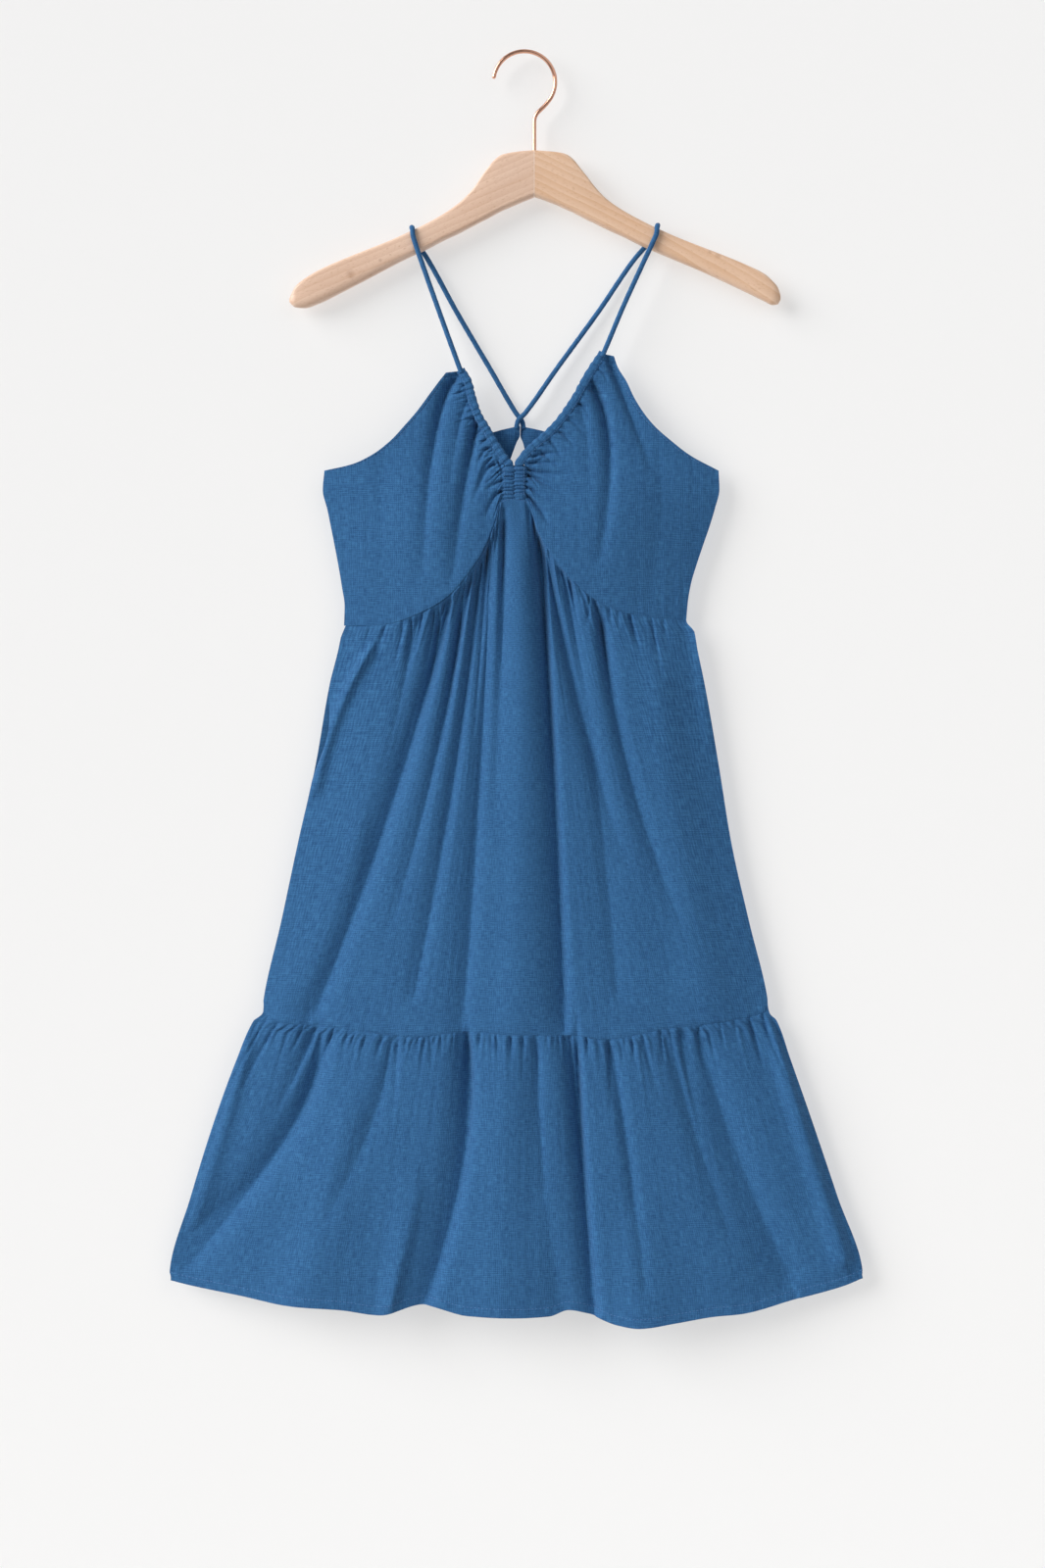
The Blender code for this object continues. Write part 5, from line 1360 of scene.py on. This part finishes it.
# %% Sheets
SHEETS = {
    "skirt_front": ((0.50, 0.49), 0.185, ["front_cup_left", "front_cup_right"], []),
    "skirt_back": ((0.50, 0.38), 0.170, ["back_bodice_left", "back_bodice_right"], []),
    "ruffle_front": ((0.74, 0.26), None, ["skirt_front"], [hem_front]),
    "ruffle_back": ((0.70, 0.255), None, ["skirt_back"], [hem_back]),
    "front_cup_left": ((0.20, 0.26), 0.026, ["strap_left"], [armhole_rows["left"]]),
    "front_cup_right": ((0.20, 0.27), 0.026, ["strap_right"], [armhole_rows["right"]]),
    "back_bodice_left": ((0.18, 0.185), 0.024, ["strap_right"], [back_rows["left"]]),
    "back_bodice_right": ((0.18, 0.185), 0.024, ["strap_left"], [back_rows["right"]]),
}
for node, piece in PANELS.items():
    sewn(piece, node)
    flat, area, carried_by, with_pieces = SHEETS[node]
    cut = flat[0] * flat[1] if area is None else area
    print(node, "cloth to cut:", round(surface_area(piece) / 2 / cut, 2))


# %% [markdown]
# ## Hanger
#
# The hanger is two arms of solid beech, glued in a mitre, shaped on a spindle moulder and sanded, with a
# satin lacquer. Its section is a rounded bar: the corners are eased all along and more so towards the
# ends. Each arm is a loft over sections read from a short table, with many more sections than the frame's
# solid has, so its bends are smooth.

# %% Beech arms
MITRE = {"x": 8.1, "gap": 0.3}
ARMS_CUT = {
    "left": table(
        "out top bottom thick under",
        (0, 89.5, 132, 13, 4), (10, 90.2, 136, 13, 4), (22, 91.8, 141.2, 13, 4), (29, 93.4, 144.2, 13, 4),
        (35, 97, 147.3, 13, 4), (42, 105, 151.2, 13, 4), (48, 113, 154.2, 13, 4), (55, 123.6, 158, 13, 4),
        (62, 131.4, 161.6, 13, 4), (70, 138.7, 165.8, 13, 4), (82, 147.2, 171.3, 13, 4),
        (98, 156.3, 179.7, 13, 4.5), (116, 164.9, 187.9, 13, 5.5), (132, 172.2, 196, 13, 7),
        (152, 180.2, 206.6, 13, 8), (176, 189.8, 219.1, 13, 9.5), (198, 199.8, 229.8, 13, 8.5),
        (211, 207.6, 233.8, 12.5, 8), (219, 214.4, 233.2, 11, 5), (223, 221.5, 230.5, 8, 3),
        (224.6, 225.5, 228.5, 5, 1)),
    "right": table(
        "out top bottom thick under",
        (0, 89.5, 131.6, 13, 4), (10, 90.2, 135, 13, 4), (22, 91.4, 139.7, 13, 4), (29, 93.1, 143, 13, 4),
        (35, 97.2, 145.6, 13, 4), (42, 105.6, 149.3, 13, 4), (48, 113.2, 152.5, 13, 4),
        (55, 122.4, 155.6, 13, 4), (62, 130.2, 159.2, 13, 4), (70, 137.2, 163, 13, 4),
        (82, 145.2, 168.4, 13, 4), (98, 154, 176.4, 13, 4), (116, 162.7, 184.2, 13, 4.5),
        (132, 169.8, 190.9, 13, 5), (152, 177.6, 199.3, 13, 5.5), (176, 187, 210.4, 13, 6),
        (198, 196.3, 220.9, 13, 6), (211, 202.9, 227.3, 12.5, 5.5), (219, 209.8, 231, 11, 4.5),
        (223.5, 215.2, 230.5, 8, 3), (225.8, 221.5, 227, 5, 1)),
}
ARM_EASE = 3.4            # radius of the eased corners
CORNER_POINTS = 7
GROWTH_LINE = 0.0062      # metres between two growth lines on the face
FLECK = {"long": 0.0035, "wide": 0.0006}   # metres


def beech_material(name, deep, light, slope, heart, knots):
    """Lacquered beech: pale, with soft growth lines and the short dark flecks that tell it from maple.

    slope is the way the arm runs, and heart the place of the tree's middle along the wood and across it.
    """
    material, tree, output = blank_material(name)
    spot = add(tree, "ShaderNodeTexCoord").outputs["Object"]
    along = add(tree, "ShaderNodeMapping", {"Vector": spot, "Rotation": (0, radians(slope), 0)}).outputs[0]
    drawn_out = add(tree, "ShaderNodeMapping", {
        "Vector": along, "Location": (-heart[0], 0, -heart[1]), "Scale": (0.16, 0.5, 1)}).outputs[0]
    warp = add(tree, "ShaderNodeTexNoise", {"Vector": drawn_out, "Scale": 55.0, "Detail": 2.0})
    shift = add(tree, "ShaderNodeVectorMath", {0: warp.outputs["Color"], "Scale": 0.008}, operation="SCALE")
    warped = add(tree, "ShaderNodeVectorMath", {0: drawn_out, 1: shift.outputs[0]}, operation="ADD")
    lines = add(tree, "ShaderNodeTexWave", {
        "Vector": warped.outputs[0], "Scale": WAVE_PERIOD / GROWTH_LINE, "Distortion": 0.6, "Detail": 1.0},
        wave_type="RINGS", rings_direction="SPHERICAL", wave_profile="SAW").outputs["Fac"]
    broad = add(tree, "ShaderNodeTexNoise", {"Vector": drawn_out, "Scale": 90.0, "Detail": 3.0})
    blend = add(tree, "ShaderNodeMath", {0: lines, 1: 0.42, 2: -0.02}, operation="MULTIPLY_ADD").outputs[0]
    blend = add(tree, "ShaderNodeMath", {
        0: broad.outputs["Fac"], 1: 0.62, 2: blend}, operation="MULTIPLY_ADD", use_clamp=True).outputs[0]
    wood = add(tree, "ShaderNodeMix", {
        "Factor": blend, 6: srgb(light), 7: srgb(deep)}, data_type="RGBA").outputs[2]
    fleck_map = add(tree, "ShaderNodeMapping", {
        "Vector": along, "Scale": (1 / FLECK["long"], 1 / FLECK["wide"], 1 / FLECK["wide"])})
    fleck = add(tree, "ShaderNodeTexNoise", {"Vector": fleck_map.outputs[0], "Scale": 1.0, "Detail": 1.0})
    fleck = add(tree, "ShaderNodeMapRange", {
        "Value": fleck.outputs["Fac"], "From Min": 0.60, "From Max": 0.72, "To Max": 0.5}).outputs[0]
    wood = add(tree, "ShaderNodeMix", {
        "Factor": fleck, 6: wood, 7: srgb("#B98A66")}, data_type="RGBA").outputs[2]
    for x, down, size in knots:
        away = add(tree, "ShaderNodeVectorMath", {
            0: spot, 1: (x * MM, -6.5 * MM, -down * MM)}, operation="DISTANCE").outputs["Value"]
        uneven_edge = add(tree, "ShaderNodeMath", {
            0: warp.outputs["Fac"], 1: 0.004, 2: away}, operation="MULTIPLY_ADD").outputs[0]
        knot = add(tree, "ShaderNodeMapRange", {
            "Value": uneven_edge, "From Min": 0.001, "From Max": size * MM, "To Min": 0.55,
            "To Max": 0.0}).outputs[0]
        wood = add(tree, "ShaderNodeMix", {
            "Factor": knot, 6: wood, 7: srgb("#9C6B4C")}, data_type="RGBA").outputs[2]
    bump = add(tree, "ShaderNodeBump", {"Height": fleck, "Strength": 0.25, "Distance": 0.0001}, invert=True)
    shader = add(tree, "ShaderNodeBsdfPrincipled", {
        "Base Color": wood, "Roughness": 0.42, "IOR": 1.5, "Normal": bump.outputs[0],
        "Coat Weight": 0.25, "Coat Roughness": 0.3})
    tree.links.new(shader.outputs[0], output.inputs["Surface"])
    return material


def eased_section(top, bottom, thick, under, ease):
    """A rounded bar seen end on: the points round it. Its lower front corner is cut off wider."""
    half, middle, tall = thick / 2, (top + bottom) / 2, (bottom - top) / 2
    ease = min(ease, 0.92 * half, 0.92 * tall)
    down, depth = [], []
    for quarter, (sign_down, sign_depth) in enumerate(((-1, -1), (-1, 1), (1, 1), (1, -1))):
        start = pi + quarter * pi / 2
        wide, high = (0.5 * (ease + half), min(max(under, ease), tall)) if quarter == 3 else (ease, ease)
        for angle in np.linspace(start, start + pi / 2, CORNER_POINTS):
            depth.append(sign_depth * (half - wide) + wide * cos(angle))
            down.append(middle + sign_down * (tall - high) + high * sin(angle))
    return np.array(down), np.array(depth)


def hanger_arm(name, side, material, sections=120):
    """One arm, from the mitre out to its rounded end."""
    cut = ARMS_CUT["left" if side < 0 else "right"]
    out = cut["out"][-1] * (1 - (1 - np.linspace(0, 1, sections)) ** 1.25)
    rings, uv = [], []
    for run in out:
        sizes = [smooth(run, cut["out"], cut[key]) for key in ("top", "bottom", "thick", "under")]
        down, depth = eased_section(*sizes, ARM_EASE)
        x = MITRE["x"] + side * (run + MITRE["gap"] / 2)
        rings.append(place(x, down, depth))
        around = np.cumsum(np.hypot(np.diff(down, prepend=down[-1]), np.diff(depth, prepend=depth[-1])))
        uv.append(np.stack([np.full(len(down), run * 1.12), around], axis=-1) * MM)
    return loft(name, np.array(rings), np.array(uv), material)


KNOTS = {-1: ((-160, 204, 7), (-133, 191, 4)), 1: ((169, 183, 5), (176.5, 186.5, 6))}  # x, down, size
BEECH = {
    -1: beech_material("lacquered_beech_left", "#D0A98E", "#E6C9B4", 25, (0.0, 0.06), KNOTS[-1]),
    1: beech_material("lacquered_beech_right", "#CFA17A", "#E9CAB1", -25, (0.01, -0.16), KNOTS[1])}
ARMS = {}
for side, word in ((-1, "left"), (1, "right")):
    ARMS[side] = sewn(hanger_arm("beech_arm_" + word, side, BEECH[side]), "hanger_arm_" + word)
print("arm triangles:", 2 * len(ARMS[1].data.polygons))


# %% [markdown]
# ## Hook
#
# The hook is bent from 3.8 mm steel wire, polished and plated rose gold. Its ring is an arc, then an easy
# bend leads into the straight shank that is screwed into the wood. Its tip is rounded by tumbling. It is
# a loft again, round all along, and its radius closes over the tip like half a ball.

# %% Hook
WIRE_RADIUS = 1.9
HOOK = {"x": -1.0, "down": 26.4, "radius": 28.3, "start": 174, "end": -36, "bend_down": 64, "foot": 89.2}


def hook_route():
    """Front-view x and down along the hook, from its tip to its foot, as a path with many rows."""
    angles = np.radians(np.linspace(HOOK["start"], HOOK["end"], 90))
    ring_x = HOOK["x"] + HOOK["radius"] * np.cos(angles)
    ring_down = HOOK["down"] - HOOK["radius"] * np.sin(angles)
    reach = 0.5 * (HOOK["bend_down"] - ring_down[-1])
    leave = (ring_x[-1] + reach * sin(angles[-1]) * 1.3, ring_down[-1] + reach * cos(angles[-1]) * 1.3)
    arrive = (MITRE["x"], HOOK["bend_down"] - reach)
    s = np.linspace(0, 1, 31)[1:]
    begin, end = (ring_x[-1], ring_down[-1]), (MITRE["x"], HOOK["bend_down"])
    bend = [(1 - s) ** 3 * a + 3 * s * (1 - s) ** 2 * b + 3 * s ** 2 * (1 - s) * c + s ** 3 * d
            for a, b, c, d in zip(begin, leave, arrive, end)]
    return {"x": np.concatenate((ring_x, bend[0], [MITRE["x"]])),
            "down": np.concatenate((ring_down, bend[1], [HOOK["foot"]]))}


def rose_gold_material():
    """Polished plating: a warm mirror, with the faint rings that polishing round the wire leaves."""
    material, tree, output = blank_material("rose_gold_plate")
    spot = add(tree, "ShaderNodeTexCoord").outputs["Object"]
    fine = add(tree, "ShaderNodeTexNoise", {"Vector": spot, "Scale": 900.0, "Detail": 2.0}).outputs["Fac"]
    rough = add(tree, "ShaderNodeMapRange", {
        "Value": fine, "From Min": 0.3, "From Max": 0.7, "To Min": 0.14, "To Max": 0.26}).outputs[0]
    tone = add(tree, "ShaderNodeTexNoise", {"Vector": spot, "Scale": 60.0, "Detail": 2.0}).outputs["Fac"]
    colour = add(tree, "ShaderNodeMix", {
        "Factor": tone, 6: srgb("#D9A088"), 7: srgb("#E9B89E")}, data_type="RGBA").outputs[2]
    shader = add(tree, "ShaderNodeBsdfPrincipled", {
        "Base Color": colour, "Metallic": 1.0, "Roughness": rough})
    tree.links.new(shader.outputs[0], output.inputs["Surface"])
    return material


def hook_wire(material, steps=240, around=20):
    route = hook_route()
    length = lengths(route)[-1]
    tip = WIRE_RADIUS * (1 - np.cos(np.linspace(0.05, pi / 2, 8)))
    run = np.concatenate((tip, np.linspace(WIRE_RADIUS, length, steps)[1:]))
    radius = WIRE_RADIUS * np.sqrt(np.clip(1 - (1 - np.minimum(run / WIRE_RADIUS, 1)) ** 2, 0, 1))
    x, down = walk(route, run / length)
    ahead = walk(route, np.clip(run / length + 0.002, 0, 1))
    behind = walk(route, np.clip(run / length - 0.002, 0, 1))
    across, along = ahead[0] - behind[0], ahead[1] - behind[1]
    size = np.hypot(across, along)
    angle = np.linspace(0, 2 * pi, around, endpoint=False)[None, :]
    out = radius[:, None] * np.cos(angle)
    across, along = (across / size)[:, None], (along / size)[:, None]
    points = place(x[:, None] + out * along, down[:, None] - out * across, radius[:, None] * np.sin(angle))
    uv = np.stack(np.broadcast_arrays(angle * WIRE_RADIUS * MM, run[:, None] * MM), axis=-1)
    return loft("hook_wire", points, uv, material)


sewn(hook_wire(rose_gold_material()), "hanger_hook")
print("wire length in mm:", round(lengths(hook_route())[-1]))


# %% [markdown]
# ## Room, light and camera
#
# The dress hangs in front of a pale wall, over a pale floor. The wall is close behind it, because the
# soft shadow there says that the dress is thin. The wall is clear from behind, so that the back of the
# dress can be looked at too.

# %% Wall and floor
WALL_AT = 0.0145          # metres behind the hook, just clear of the back of the dress
WALL_GLOW = 0.52          # the part of the wall's light that comes from lamps on the wall alone
FLOOR_AT = -1.95


def wall_material():
    """Matt emulsion on a smooth wall, seen and felt only from the front."""
    material, tree, output = blank_material("matt_emulsion")
    spot = add(tree, "ShaderNodeTexCoord").outputs["Object"]
    grit = add(tree, "ShaderNodeTexNoise", {"Vector": spot, "Scale": 420.0, "Detail": 2.0}).outputs["Fac"]
    bump = add(tree, "ShaderNodeBump", {"Height": grit, "Strength": 0.05, "Distance": 0.0004})
    paint = add(tree, "ShaderNodeBsdfPrincipled", {
        "Base Color": srgb("#E7E6E5"), "Roughness": 0.9, "Specular IOR Level": 0.2,
        "Normal": bump.outputs[0]})
    glow = add(tree, "ShaderNodeEmission", {"Color": srgb("#F5F5F5"), "Strength": 1.07}).outputs[0]
    paint = add(tree, "ShaderNodeMixShader", {0: WALL_GLOW, 1: paint.outputs[0], 2: glow}).outputs[0]
    clear = add(tree, "ShaderNodeBsdfTransparent")
    behind = add(tree, "ShaderNodeNewGeometry").outputs["Backfacing"]
    shadow = add(tree, "ShaderNodeLightPath").outputs["Is Shadow Ray"]
    open_when = add(tree, "ShaderNodeMath", {0: behind, 1: shadow}, operation="MAXIMUM").outputs[0]
    mixed = add(tree, "ShaderNodeMixShader", {0: open_when, 1: paint, 2: clear.outputs[0]})
    tree.links.new(mixed.outputs[0], output.inputs["Surface"])
    return material


def floor_material():
    material, tree, output = blank_material("pale_floor")
    spot = add(tree, "ShaderNodeTexCoord").outputs["Object"]
    cloud = add(tree, "ShaderNodeTexNoise", {"Vector": spot, "Scale": 3.0, "Detail": 3.0}).outputs["Fac"]
    colour = add(tree, "ShaderNodeMix", {
        "Factor": cloud, 6: srgb("#D2D1CF"), 7: srgb("#DAD9D7")}, data_type="RGBA").outputs[2]
    shader = add(tree, "ShaderNodeBsdfPrincipled", {"Base Color": colour, "Roughness": 0.7})
    tree.links.new(shader.outputs[0], output.inputs["Surface"])
    return material


def plane(name, corners, material):
    mesh = bpy.data.meshes.new(name)
    mesh.from_pydata(corners, [], [(0, 1, 2, 3)])
    mesh.materials.append(material)
    piece = bpy.data.objects.new(name, mesh)
    bpy.context.collection.objects.link(piece)


WALL_HALF, WALL_TOP, FLOOR_HALF = 2.2, 1.6, 4.0
plane("wall", [(-WALL_HALF, WALL_AT, FLOOR_AT), (WALL_HALF, WALL_AT, FLOOR_AT),
               (WALL_HALF, WALL_AT, WALL_TOP), (-WALL_HALF, WALL_AT, WALL_TOP)], wall_material())
plane("floor", [(-FLOOR_HALF, -FLOOR_HALF, FLOOR_AT), (FLOOR_HALF, -FLOOR_HALF, FLOOR_AT),
                (FLOOR_HALF, FLOOR_HALF, FLOOR_AT), (-FLOOR_HALF, FLOOR_HALF, FLOOR_AT)], floor_material())


# %% [markdown]
# ## Light
#
# The photograph has soft daylight from the left and a little above, so the right walls of the folds shine
# and the left ones are in shade. A sun lamp with a wide angle gives the same light all over a thing more
# than a metre tall. A weaker one from the right opens the shadows, and two square lamps behind the wall
# serve the views of the back.

# %% Lights and world
MIDDLE = Vector((-0.0027, 0.0, -0.671))


def softbox(name, spot, size, watts):
    """Add a square area light that looks at the middle of the dress."""
    light = bpy.data.lights.new(name, "AREA")
    light.shape = "SQUARE"
    light.size = size
    light.energy = watts
    lamp = bpy.data.objects.new(name, light)
    lamp.location = spot
    lamp.rotation_euler = (MIDDLE - Vector(spot)).to_track_quat("-Z", "Y").to_euler()
    bpy.context.collection.objects.link(lamp)


SUNS = {"key": (3.6, 42, (0.78, 0.48, -0.40)), "fill": (0.6, 60, (-0.5, 0.75, -0.40))}
for name, (strength, width, heading) in SUNS.items():
    sun = bpy.data.lights.new(name, "SUN")
    sun.energy = strength
    sun.angle = radians(width)
    sun_lamp = bpy.data.objects.new(name, sun)
    sun_lamp.rotation_euler = Vector(heading).to_track_quat("-Z", "Y").to_euler()
    bpy.context.collection.objects.link(sun_lamp)
softbox("behind_left", (-1.0, 2.8, 0.4), 1.6, 30)
softbox("behind_right", (1.4, 2.6, -0.2), 1.6, 24)

world = bpy.data.worlds.new("studio")
world.use_nodes = True
world.node_tree.nodes["Background"].inputs["Color"].default_value = srgb("#FBFBFC")
world.node_tree.nodes["Background"].inputs["Strength"].default_value = 0.2
bpy.context.scene.world = world
bpy.context.scene.view_settings.view_transform = "Standard"


# %% [markdown]
# ## Camera
#
# The photograph was taken straight on from a few metres away. A long lens keeps the dress flat: 1.44 m of
# wall fill the height of the picture from 3.2 m, which an 80 mm lens on a 36 mm sensor gives.

# %% Camera
VIEW_HEIGHT, VIEW_DISTANCE, SENSOR = 1.44, 3.2, 36.0
camera_data = bpy.data.cameras.new("camera")
camera_data.sensor_width = SENSOR
camera_data.lens = SENSOR * VIEW_DISTANCE / VIEW_HEIGHT
camera = bpy.data.objects.new("camera", camera_data)
camera.location = MIDDLE + Vector((0, -VIEW_DISTANCE, 0))
camera.rotation_euler = (radians(90), 0, 0)
bpy.context.collection.objects.link(camera)
bpy.context.scene.camera = camera
print("lens in mm:", camera_data.lens)
